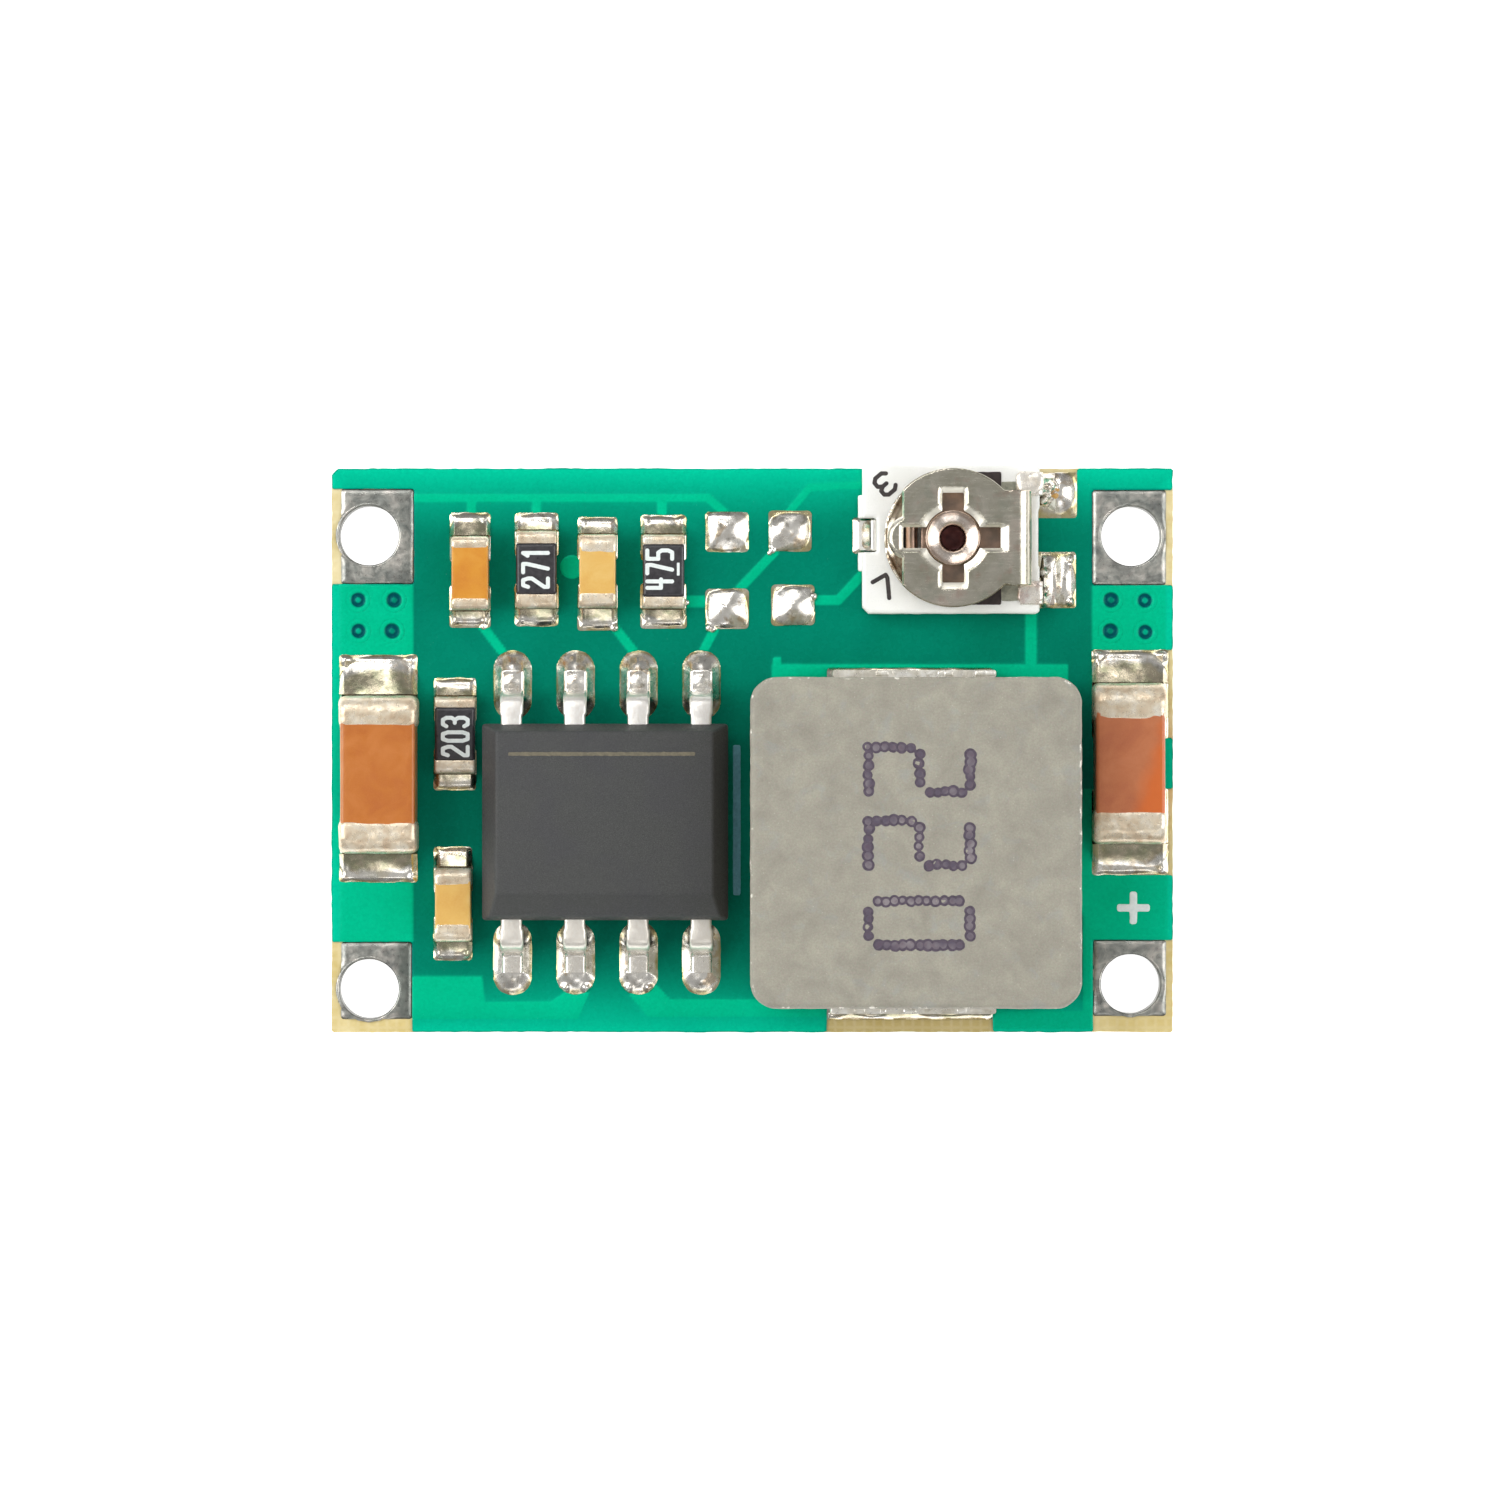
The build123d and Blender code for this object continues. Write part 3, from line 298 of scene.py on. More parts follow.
def flux():
    m = Mat("flux_residue", specular=0.6, coat=0.6, coat_rough=0.06)
    m.color(m.ramp(m.noise(9, 3), (0.3, lin(206, 150, 66)), (0.7, lin(236, 204, 138))))
    m.rough(m.span(m.noise(14, 3), 0.3, 0.7, 0.12, 0.28))
    m.bump(m.noise(16, 3), 6, 0.6)
    return m.m


def lead_tin(name="tinned_leads", wetted=False):
    """Matt tin; where solder has wetted the foot it turns glossy."""
    m = Mat(name, metallic=0.76 if wetted else 0.82, specular=0.5)
    grain = m.noise(20, 4, 0.6, vec=m.stretch(1, 0.5, 1))
    col = m.ramp(grain, (0.25, lin(242, 236, 228)), (0.75, lin(255, 253, 249)))
    rough = m.span(m.noise(14, 3), 0.3, 0.7, 0.30, 0.46)
    if wetted:
        low = m.span(m.height(), 1.42, 1.22, smooth=True)
        col = m.mix(m.math("MULTIPLY", low, 0.14), col, lin(206, 208, 204))
        rough = m.math("SUBTRACT", rough, m.math("MULTIPLY", low, 0.16))
        # painted shade: the lower row of leads, which faces away from the lamps, is warmer and a little duller
        col = m.mix(m.span(m.height("Y"), -1.0, -2.0, 0.0, 0.30), col, lin(236, 225, 204))
    m.color(col)
    m.rough(rough)
    m.bump(m.noise(28, 4), 3, 0.6)
    m.bump(m.noise(7, 3), 7, 0.5)
    return m.m


def coil_tin():
    """Tin-dipped clips of the inductor: uneven, cream to grey, with drawn lines."""
    m = Mat("dipped_tin", metallic=0.72, specular=0.5)
    blot = m.noise(2.4, 5, 0.62, 0.8)
    col = m.ramp(blot, (0.30, lin(204, 197, 180)), (0.45, lin(242, 237, 225)), (0.62, lin(255, 253, 247)))
    lines = m.noise(5.0, 3, 0.6, vec=m.stretch(0.35, 1, 3.0))
    col = m.mix(m.span(lines, 0.54, 0.68, 0.0, 0.26), col, lin(164, 156, 136))
    m.color(col)
    m.rough(m.span(m.noise(6, 4), 0.3, 0.7, 0.22, 0.48))
    m.bump(m.noise(4, 4, 0.6), 16, 0.8)
    m.bump(m.noise(30, 3), 3, 0.6)
    return m.m


def plated():
    """Fired and tinned ends of the chips: lumpy, cream-silver with small glints."""
    m = Mat("plated_ends", metallic=0.55, specular=0.5)
    col = m.ramp(m.noise(3.6, 4, 0.6, 0.5), (0.28, lin(206, 180, 150)), (0.5, lin(232, 216, 190)),
                 (0.75, lin(249, 242, 227)))
    m.color(col)
    m.rough(m.span(m.noise(7, 4), 0.3, 0.7, 0.18, 0.42))
    m.bump(m.noise(5, 4, 0.6), 15, 0.8)
    m.bump(m.noise(30, 3), 3, 0.7)
    return m.m


def clip_metal():
    """Dipped clips of the trimmer: cream where bright, pinkish brown where the dip ran thin."""
    m = Mat("dipped_clip", metallic=0.6, specular=0.5)
    col = m.ramp(m.noise(3.4, 3), (0.3, lin(230, 220, 204)), (0.7, lin(255, 252, 246)))
    thin = m.math("ADD", m.height("Y"), m.math("MULTIPLY", m.noise(3.0, 2), 1.2))
    thin = m.math("MULTIPLY", m.span(thin, 4.4, 3.6), m.span(m.noise(4.0, 2), 0.47, 0.58, 0.03, 0.5))
    col = m.mix(thin, col, lin(176, 132, 118))
    m.color(col)
    m.rough(m.span(m.noise(9, 3), 0.3, 0.7, 0.18, 0.34))
    m.bump(m.noise(5, 2), 6, 0.6)
    return m.m


def moulding():
    m = Mat("moulding_compound", specular=0.42)
    col = m.ramp(m.noise(60, 4, 0.7), (0.30, lin(50, 51, 51)), (0.55, lin(70, 71, 70)), (0.80, lin(95, 95, 95)))
    col = m.mix(m.span(m.noise(1.1, 3), 0.4, 0.7, 0.0, 0.25), col, lin(58, 56, 66))
    m.color(col)
    m.rough(m.span(m.noise(18, 3), 0.3, 0.7, 0.48, 0.66))
    m.bump(m.noise(45, 4, 0.7), 7, 0.8)
    return m.m


def powder():
    m = Mat("pressed_powder", specular=0.38)
    fine = m.noise(24, 5, 0.7)
    broad = m.noise(1.6, 5, 0.6, 0.4)
    col = m.ramp(broad, (0.28, lin(152, 148, 134)), (0.5, lin(166, 162, 147)), (0.72, lin(180, 176, 159)))
    col = m.mix(m.span(fine, 0.3, 0.7, 0.0, 0.42), col, lin(120, 114, 110))
    col = m.mix(m.span(m.noise(3.3, 3, 0.5, 0.6), 0.56, 0.72, 0.0, 0.30), col, lin(150, 156, 158))
    specks = m.span(m.cells(7.0), 0.10, 0.045)
    col = m.mix(m.math("MULTIPLY", specks, 0.35), col, lin(214, 208, 194))
    hue = m.noise(30, 2, vec=m.stretch(1, 1, 0.2))
    col = m.mix(m.span(hue, 0.58, 0.70, 0.0, 0.30), col, lin(176, 150, 150))
    col = m.mix(m.span(hue, 0.42, 0.30, 0.0, 0.30), col, lin(140, 160, 140))
    # painted highlight: patches of pale cream on the core's rounded top edge
    edge = m.math("MULTIPLY", m.span(m.height(), 3.785, 3.755), m.span(m.height(), 3.66, 3.74))
    rim_highlight = m.math("MULTIPLY", edge, m.span(m.noise(5, 3), 0.60, 0.66))
    col = m.mix(rim_highlight, col, lin(244, 240, 228))
    m.color(col)
    m.rough(m.span(fine, 0.3, 0.7, 0.44, 0.62))
    m.bump(m.noise(16, 5, 0.7), 9, 0.7)
    m.bump(m.cells(9.0, "SMOOTH_F1"), 6, 0.35)
    return m.m


def fired(name, dark, mid, light, streak=None):
    m = Mat(name, specular=0.45, coat=0.55, coat_rough=0.18)
    col = m.ramp(m.noise(1.5, 4, 0.6, 0.5), (0.3, dark), (0.52, mid), (0.75, light))
    col = m.mix(m.span(m.noise(34, 3), 0.4, 0.75, 0.0, 0.25), col, light)
    if streak:
        x, y, tone = streak
        side = m.math("ADD", m.math("SUBTRACT", m.height("X"), x), m.math("MULTIPLY", m.noise(1.6, 3), 0.5))
        line = m.math("ADD", side, m.math("MULTIPLY", m.math("SUBTRACT", m.height("Y"), y), -0.35))
        col = m.mix(m.span(line, 0.05, 0.50, 0.0, 0.85, smooth=True), col, tone)
    m.color(col)
    m.rough(m.span(m.noise(8, 3), 0.3, 0.7, 0.34, 0.5))
    m.bump(m.noise(30, 4), 3, 0.6)
    return m.m


def glaze():
    m = Mat("black_glaze", specular=0.5, coat=0.3, coat_rough=0.15)
    m.color(m.ramp(m.noise(9, 4), (0.3, lin(36, 34, 38)), (0.7, lin(60, 57, 61))))
    m.rough(m.span(m.noise(10, 3), 0.3, 0.7, 0.26, 0.42))
    m.bump(m.noise(12, 4), 5, 0.7)
    return m.m


def white_ceramic(name, a, b):
    m = Mat(name, specular=0.45)
    m.color(m.mix(m.span(m.noise(40, 4), 0.5, 0.8, 0.0, 0.2),
                  m.ramp(m.noise(2.0, 4), (0.3, a), (0.7, b)), lin(196, 198, 190)))
    m.rough(m.span(m.noise(15, 3), 0.3, 0.7, 0.35, 0.55))
    m.bump(m.noise(24, 4), 5, 0.6)
    return m.m


def rotor_metal():
    """Plated spring sheet: grey face, painted cream highlights on the bevels and the leaf's rim, painted reddish brown
    shade down in the slot.
    """
    m = Mat("rotor_steel", metallic=1.0)
    dx = m.math("SUBTRACT", m.height("X"), 4.024)
    dy = m.math("SUBTRACT", m.height("Y"), 4.260)
    away = m.math("SQRT", m.math("ADD", m.math("MULTIPLY", dx, dx), m.math("MULTIPLY", dy, dy)), 0.0)
    brushed = m.noise(9, 5, 0.65, vec=m.stretch(0.35, 3.0, 1))
    col = m.ramp(m.noise(1.8, 4, 0.6, 0.8), (0.3, lin(178, 174, 156)), (0.55, lin(200, 195, 180)),
                 (0.75, lin(220, 208, 194)))
    col = m.mix(m.span(m.noise(3.6, 3), 0.56, 0.72, 0.0, 0.45), col, lin(192, 162, 148))
    col = m.mix(m.span(m.noise(2.7, 3), 0.58, 0.74, 0.0, 0.4), col, lin(166, 174, 158))
    # painted highlight: the bevels round the slot are near-white cream
    pale = m.math("MULTIPLY", m.span(m.height(), 2.140, 2.120), m.span(away, 1.24, 1.18))
    col = m.mix(m.math("MULTIPLY", pale, 0.92), col, lin(255, 250, 236))
    # painted shade: the leaf down in the slot, under the disc, is dark reddish brown
    inner = m.math("MULTIPLY", m.span(m.height(), 1.90, 1.80, smooth=True), m.span(away, 1.04, 0.98))
    col = m.mix(m.math("MULTIPLY", inner, 0.88), col,
                m.ramp(m.noise(3.0, 3), (0.35, lin(104, 78, 62)), (0.65, lin(158, 122, 100))))
    # painted highlight: the leaf's rim beyond the disc is tan to cream
    rim = m.math("MULTIPLY", m.span(m.height(), 1.90, 1.80), m.span(away, 1.00, 1.10))
    col = m.mix(m.math("MULTIPLY", rim, 0.85), col,
                m.ramp(m.noise(4.0, 3), (0.38, lin(176, 148, 120)), (0.55, lin(250, 242, 222))))
    m.color(col)
    rough = m.span(brushed, 0.3, 0.7, 0.15, 0.30)
    m.rough(m.math("ADD", rough, m.math("MULTIPLY", pale, 0.14)))
    m.bump(m.noise(1.7, 3, 0.5), 26, 0.6)
    m.bump(m.noise(7, 3, 0.5), 6, 0.5)
    m.bump(brushed, 1.2, 0.4)
    return m.m


def eyelet_metal():
    m = Mat("eyelet_metal", metallic=1.0)
    col = m.ramp(m.noise(5, 4), (0.3, lin(226, 206, 192)), (0.7, lin(252, 242, 232)))
    col = m.mix(m.span(m.height(), 1.885, 1.915, 0.0, 0.75, smooth=True), col, lin(170, 146, 128))
    # painted shade: the bore darkens to reddish brown with depth
    col = m.mix(m.span(m.height(), 1.81, 1.74, 0.0, 0.8, smooth=True), col, lin(150, 110, 96))
    m.color(col)
    m.rough(m.span(m.noise(14, 3), 0.3, 0.7, 0.16, 0.30))
    m.bump(m.noise(16, 3), 4, 0.5)
    return m.m


def cup_floor_shade():
    # painted shade: the floor at the bottom of the eyelet's bore is dark reddish brown
    m = Mat("eyelet_floor", metallic=0.6, specular=0.4)
    m.color(m.ramp(m.noise(6, 3), (0.3, lin(92, 58, 60)), (0.7, lin(122, 80, 78))))
    m.rough(m.span(m.noise(14, 3), 0.3, 0.7, 0.3, 0.5))
    m.bump(m.noise(16, 3), 5, 0.6)
    return m.m


def dots_ink():
    """Sprayed dots that thin out in places."""
    m = Mat("marking_pale")
    col = m.ramp(m.noise(1.1, 3), (0.44, lin(84, 74, 90)), (0.62, lin(136, 128, 132)))
    m.color(m.mix(m.span(m.noise(9, 3), 0.45, 0.65, 0.0, 0.45), col, lin(92, 70, 84)))
    m.rough(m.span(m.noise(20, 3), 0.3, 0.7, 0.5, 0.65))
    m.bump(m.noise(26, 4), 4, 0.6)
    return m.m


def film(name, a, b, metallic=0.0, lo=0.4, hi=0.6):
    m = Mat(name, metallic=metallic)
    m.color(m.ramp(m.noise(12, 4, 0.6), (0.3, a), (0.7, b)))
    m.rough(m.span(m.noise(20, 3), 0.3, 0.7, lo, hi))
    m.bump(m.noise(26, 4), 4, 0.6)
    return m.m


LAMINATE = laminate()
TIN = tinned()
SOLDER = solder("solder_chips", climb=0.84)
SOLDER_BIG = solder("solder_large", climb=0.87)
SOLDER_LOW = solder("solder_low", patch=0.6)
FLUX = flux()
LEAD = lead_tin()
LEAD_WET = lead_tin("tinned_leads_wetted", True)
PLATED = plated()
COIL_TIN = coil_tin()
CLIP = clip_metal()
MOULD = moulding()
POWDER = powder()
GLAZE = glaze()
ROTOR = rotor_metal()
EYELET = eyelet_metal()
CUP_SHADE = cup_floor_shade()
ORANGE = fired("ceramic_orange", lin(179, 94, 20), lin(189, 107, 28), lin(200, 121, 52))
BROWN = fired("ceramic_brown", lin(176, 95, 56), lin(188, 108, 64), lin(198, 120, 76), streak=(7.95, -0.35, lin(214, 100, 12)))
AMBER = fired("ceramic_amber", lin(204, 125, 20), lin(213, 140, 28), lin(221, 158, 56))
TAN = fired("ceramic_tan", lin(218, 165, 78), lin(224, 178, 90), lin(232, 197, 122))
WHITE = white_ceramic("white_ceramic", lin(247, 248, 242), lin(253, 253, 250))
ALUMINA = white_ceramic("alumina", lin(220, 220, 214), lin(234, 234, 228))
TRACK = film("resistive_film", lin(38, 30, 30), lin(62, 50, 48), 0.0, 0.3, 0.5)
SILVER = film("silver_film", lin(140, 142, 128), lin(186, 184, 166), 0.7, 0.35, 0.55)
COPPER = film("copper", lin(176, 112, 84), lin(206, 142, 110), 1.0, 0.3, 0.45)
WIRE = film("enamelled_wire", lin(170, 92, 56), lin(196, 118, 76), 1.0, 0.2, 0.35)
GOLD = film("bond_wire", lin(212, 176, 90), lin(230, 198, 120), 1.0, 0.2, 0.3)
SILICON = film("silicon", lin(96, 100, 112), lin(120, 122, 132), 0.4, 0.15, 0.3)
INK_WHITE = film("white_ink", lin(222, 232, 230), lin(240, 246, 244), 0.0, 0.45, 0.6)
INK_BLACK = film("black_ink", lin(46, 40, 40), lin(70, 62, 60), 0.0, 0.45, 0.6)
INK_DARK = film("marking_dark", lin(66, 56, 70), lin(92, 80, 94), 0.0, 0.5, 0.65)
INK_PALE = dots_ink()
INK_SHADED = film("shaded_ink", lin(98, 164, 178), lin(116, 184, 198), 0.0, 0.4, 0.6)
LASER = film("laser_mark", lin(98, 94, 78), lin(122, 114, 94), 0.0, 0.5, 0.7)


# ------------------------------------------------------------------ numeric helpers, all in millimetres
def hashed(i, j, k, seed):
    n = (i * 73856093) ^ (j * 19349663) ^ (k * 83492791) ^ (seed * 2654435 + 1013)
    n = (n ^ (n >> 13)) * 1274126177
    n = n & 0x7FFFFFFF
    return ((n ^ (n >> 16)) & 0xFFFF) / 32767.5 - 1.0


def bumps(x, y, z=0.0, scale=1.0, seed=0):
    """Smooth lattice noise, -1 to 1."""
    x, y, z = np.broadcast_arrays(np.asarray(x, float) * scale, np.asarray(y, float) * scale,
                                  np.asarray(z, float) * scale)
    xi, yi, zi = (np.floor(a).astype(np.int64) for a in (x, y, z))
    fx, fy, fz = (a - b for a, b in ((x, xi), (y, yi), (z, zi)))
    fx, fy, fz = (f * f * (3 - 2 * f) for f in (fx, fy, fz))
    out = 0.0
    for dx in (0, 1):
        for dy in (0, 1):
            for dz in (0, 1):
                w = (fx if dx else 1 - fx) * (fy if dy else 1 - fy) * (fz if dz else 1 - fz)
                out = out + w * hashed(xi + dx, yi + dy, zi + dz, seed)
    return out


def fbm(x, y, z=0.0, scale=1.0, seed=0, octaves=3):
    out, amp, total = 0.0, 1.0, 0.0
    for o in range(octaves):
        out = out + amp * bumps(x, y, z, scale * 2 ** o, seed + 17 * o)
        total += amp
        amp *= 0.5
    return out / total


def step(a, b, v):
    t = np.clip((v - a) / (b - a), 0, 1)
    return t * t * (3 - 2 * t)


def s_box(x, y, x0, x1, y0, y1, r=0.0):
    qx = np.abs(x - (x0 + x1) / 2) - (x1 - x0) / 2 + r
    qy = np.abs(y - (y0 + y1) / 2) - (y1 - y0) / 2 + r
    return np.hypot(np.maximum(qx, 0), np.maximum(qy, 0)) + np.minimum(np.maximum(qx, qy), 0) - r


def s_circle(x, y, cx, cy, r):
    return np.hypot(x - cx, y - cy) - r


def s_line(x, y, pts, width):
    out = None
    for (ax, ay), (bx, by) in zip(pts, pts[1:]):
        dx, dy = bx - ax, by - ay
        t = np.clip(((x - ax) * dx + (y - ay) * dy) / max(dx * dx + dy * dy, 1e-12), 0, 1)
        d = np.hypot(x - ax - t * dx, y - ay - t * dy) - width / 2
        out = d if out is None else np.minimum(out, d)
    return out


def s_poly(x, y, pts):
    d = np.full(np.shape(x), 1e9)
    sign = np.ones(np.shape(x))
    n = len(pts)
    for i in range(n):
        (ax, ay), (bx, by) = pts[i], pts[i - 1]
        ex, ey = bx - ax, by - ay
        wx, wy = x - ax, y - ay
        t = np.clip((wx * ex + wy * ey) / (ex * ex + ey * ey), 0, 1)
        d = np.minimum(d, (wx - ex * t) ** 2 + (wy - ey * t) ** 2)
        c1, c2, c3 = y >= ay, y < by, ex * wy > ey * wx
        flip = (c1 & c2 & c3) | (~c1 & ~c2 & ~c3)
        sign = np.where(flip, -sign, sign)
    return sign * np.sqrt(d)


# ------------------------------------------------------------------ mesh helpers: each returns (vertices, faces)
def relief(x0, x1, y0, y1, cell, sdf, top, low, fill=False, flat=False, flip=None):
    """The region where sdf < 0, with a surface at top(x, y, sdf), straight walls and a flat bottom at low.

    fill: the bottom is filled from its outline alone. flat: so is the top. flip: z becomes flip - z.
    """
    nx, ny = int(round((x1 - x0) / cell)), int(round((y1 - y0) / cell))
    X, Y = np.meshgrid(x0 + cell * np.arange(nx + 1), y0 + cell * np.arange(ny + 1))
    S = sdf(X, Y)
    S = np.where(np.abs(S) < cell * 0.02, np.where(S < 0, -cell * 0.02, cell * 0.02), S)
    for edge in (np.s_[0, :], np.s_[-1, :], np.s_[:, 0], np.s_[:, -1]):
        S[edge] = np.maximum(S[edge], cell * 0.02)
    inside = S < 0
    count = int(inside.sum())
    gi = -np.ones(S.shape, int)
    gi[inside] = np.arange(count)
    px, py, ps = [X[inside]], [Y[inside]], [S[inside]]
    hc = inside[:, :-1] != inside[:, 1:]
    th = S[:, :-1] / np.where(hc, S[:, :-1] - S[:, 1:], 1.0)
    hi = -np.ones(hc.shape, int)
    hi[hc] = count + np.arange(int(hc.sum()))
    px.append((X[:, :-1] + th * cell)[hc]); py.append(Y[:, :-1][hc]); ps.append(np.zeros(int(hc.sum())))
    count += int(hc.sum())
    vc = inside[:-1, :] != inside[1:, :]
    tv = S[:-1, :] / np.where(vc, S[:-1, :] - S[1:, :], 1.0)
    vi = -np.ones(vc.shape, int)
    vi[vc] = count + np.arange(int(vc.sum()))
    px.append(X[:-1, :][vc]); py.append((Y[:-1, :] + tv * cell)[vc]); ps.append(np.zeros(int(vc.sum())))
    count += int(vc.sum())
    px, py, ps = (np.concatenate(a) for a in (px, py, ps))
    pz = np.broadcast_to(np.asarray(top(px, py, ps), float), px.shape)
    a, b, c, d = inside[:-1, :-1], inside[:-1, 1:], inside[1:, 1:], inside[1:, :-1]
    full = a & b & c & d
    faces = []
    if not flat:
        faces = np.stack([gi[:-1, :-1][full], gi[:-1, 1:][full], gi[1:, 1:][full], gi[1:, :-1][full]], 1).tolist()
    some = (a | b | c | d) & ~full
    rim = []
    for j, i in np.argwhere(some):
        corners = ((j, i), (j, i + 1), (j + 1, i + 1), (j + 1, i))
        edges = (hi[j, i], vi[j, i + 1], hi[j + 1, i], vi[j, i])
        poly, marks = [], []
        for k in range(4):
            if inside[corners[k]]:
                poly.append(int(gi[corners[k]])); marks.append(0)
            if edges[k] >= 0:
                leaving = inside[corners[k]]
                poly.append(int(edges[k])); marks.append(1 if leaving else 2)
        if not flat:
            faces.append(poly)
        for k in range(len(poly)):
            if marks[k] == 1 and marks[(k + 1) % len(poly)] == 2:
                rim.append((poly[k], poly[(k + 1) % len(poly)]))
    verts = np.stack([px, py, pz], 1)
    if not fill and not flat:
        n = len(verts)
        below = verts.copy()
        below[:, 2] = low
        allv = np.concatenate([verts, below])
        out = faces + [[k + n for k in reversed(f)] for f in faces]
        out += [[q, p, p + n, q + n] for p, q in rim]
    else:
        used = sorted({k for seg in rim for k in seg})
        at = {k: len(verts) + i for i, k in enumerate(used)}
        below = verts[used].copy()
        below[:, 2] = low
        allv = np.concatenate([verts, below])
        out = list(faces) + [[q, p, at[p], at[q]] for p, q in rim]
        out += filled(allv, [(at[p], at[q]) for p, q in rim], -1)
        if flat:
            out += filled(allv, rim, 1)
            keep = sorted({k for f in out for k in f})
            renum = {k: i for i, k in enumerate(keep)}
            allv = allv[keep]
            out = [[renum[k] for k in f] for f in out]
    if flip is not None:
        allv = allv.copy()
        allv[:, 2] = flip - allv[:, 2]
        out = [list(reversed(f)) for f in out]
    return allv, out


def filled(verts, segments, way):
    """Triangles over closed outlines in a level plane."""
    bm = bmesh.new()
    used = sorted({k for s in segments for k in s})
    made = {k: bm.verts.new((float(verts[k][0]), float(verts[k][1]), 0.0)) for k in used}
    for i, k in enumerate(used):
        made[k].index = i
    edges = []
    for p, q in segments:
        try:
            edges.append(bm.edges.new((made[p], made[q])))
        except ValueError:
            pass
    back = {v: k for k, v in made.items()}
    bmesh.ops.triangle_fill(bm, use_beauty=True, use_dissolve=False, edges=edges)
    faces = []
    for f in bm.faces:
        f.normal_update()
        loop = [back[v] for v in f.verts]
        faces.append(loop if f.normal.z * way > 0 else list(reversed(loop)))
    bm.free()
    return faces


def lathe(profile, cx, cy, n=72):
    """A closed (r, z) outline turned about the vertical axis at (cx, cy)."""
    m = len(profile)
    verts = [(cx + r * math.cos(2 * math.pi * k / n), cy + r * math.sin(2 * math.pi * k / n), z)
             for k in range(n) for r, z in profile]
    faces = []
    for k in range(n):
        k2 = (k + 1) % n
        for i in range(m):
            i2 = (i + 1) % m
            faces.append([k * m + i, k2 * m + i, k2 * m + i2, k * m + i2])
    return np.array(verts), faces


def block(x0, x1, y0, y1, z0, z1, r, cell=0.05, lump=0.0, lump_scale=6.0, seed=0, fine=0.0):
    """A box with rounded edges, as an even grid on each side, its surface moved by noise."""
    lo, hi = np.array([x0, y0, z0]), np.array([x1, y1, z1])

    def marks(a, b):
        inner = np.linspace(a + r, b - r, max(2, int(round((b - a - 2 * r) / cell)) + 1))
        turn = np.array([r * (1 - math.cos(t)) for t in np.linspace(0, math.pi / 2, 5)[:-1]])
        return np.concatenate([a + turn[[0, 1, 2, 3]], inner, (b - turn[[3, 2, 1, 0]])])

    lines = [marks(lo[k], hi[k]) for k in range(3)]
    index, verts, faces = {}, [], []

    def vert(p):
        key = tuple(round(float(c), 6) for c in p)
        if key not in index:
            index[key] = len(verts)
            verts.append(p)
        return index[key]

    for axis in range(3):
        u, v = (axis + 1) % 3, (axis + 2) % 3
        for side, level in ((0, lo[axis]), (1, hi[axis])):
            grid = []
            for a in lines[u]:
                row = []
                for b in lines[v]:
                    p = [0, 0, 0]
                    p[axis], p[u], p[v] = level, a, b
                    row.append(vert(p))
                grid.append(row)
            for i in range(len(grid) - 1):
                for j in range(len(grid[0]) - 1):
                    f = [grid[i][j], grid[i + 1][j], grid[i + 1][j + 1], grid[i][j + 1]]
                    faces.append(f if side else f[::-1])
    P = np.array(verts, float)
    core = np.clip(P, lo + r, hi - r)
    d = P - core
    length = np.linalg.norm(d, axis=1, keepdims=True)
    n = d / np.maximum(length, 1e-9)
    P = core + n * r
    if lump or fine:
        move = lump * fbm(P[:, 0], P[:, 1], P[:, 2], lump_scale, seed, 2) + fine * fbm(
            P[:, 0], P[:, 1], P[:, 2], 22, seed + 5, 2)
        P = P + n * move[:, None]
    return P, faces


def turned(points, radius, steps=8):
    """A 2D path with its corners rounded."""
    out = [np.array(points[0], float)]
    for a, b, c in zip(points, points[1:], points[2:]):
        a, b, c = (np.array(p, float) for p in (a, b, c))
        u, v = (a - b) / np.linalg.norm(a - b), (c - b) / np.linalg.norm(c - b)
        half = math.acos(np.clip(u @ v, -1, 1)) / 2
        run = min(radius / math.tan(half), 0.49 * np.linalg.norm(a - b), 0.49 * np.linalg.norm(c - b))
        rad = run * math.tan(half)
        mid = (u + v) / np.linalg.norm(u + v)
        centre = b + mid * rad / math.sin(half)
        p, q = b + u * run - centre, b + v * run - centre
        total = math.acos(np.clip(p @ q / rad ** 2, -1, 1))
        for k in range(steps + 1):
            t = k / steps
            out.append(centre + (math.sin((1 - t) * total) * p + math.sin(t * total) * q) / math.sin(total))
    out.append(np.array(points[-1], float))
    return np.array(out)


def strip(path, widths, thick, centre, soft=0.03, lump=0.0, seed=0, swap=False):
    """A flat strip swept along a path in the YZ plane (XZ if swap); its width lies along the other axis."""
    d = np.gradient(path, axis=0)
    d /= np.linalg.norm(d, axis=1, keepdims=True)
    normal = np.stack([-d[:, 1], d[:, 0]], 1)
    ring, faces, verts = [], [], []
    for k in range(len(path)):
        w, t, s = widths[k] / 2, thick / 2, soft
        outline = []
        for sx, sn in ((1, 1), (-1, 1), (-1, -1), (1, -1)):
            for a in (0, 30, 60, 90):
                a = math.radians(a if sx * sn > 0 else 90 - a)
                outline.append((sx * (w - s + s * math.cos(a)), sn * (t - s + s * math.sin(a))))
        row = []
        for ox, on in outline:
            p = path[k] + normal[k] * on
            row.append(len(verts))
            verts.append((p[0], centre + ox, p[1]) if swap else (centre + ox, p[0], p[1]))
        ring.append(row)
    m = len(ring[0])
    for k in range(len(ring) - 1):
        for i in range(m):
            i2 = (i + 1) % m
            faces.append([ring[k][i], ring[k][i2], ring[k + 1][i2], ring[k + 1][i]])
    faces.append(ring[0][::-1])
    faces.append(ring[-1])
    V = np.array(verts, float)
    if lump:
        V = V + lump * np.stack([fbm(V[:, 0], V[:, 1], V[:, 2], 7, seed + s) for s in (1, 2, 3)], 1)
    return V, faces


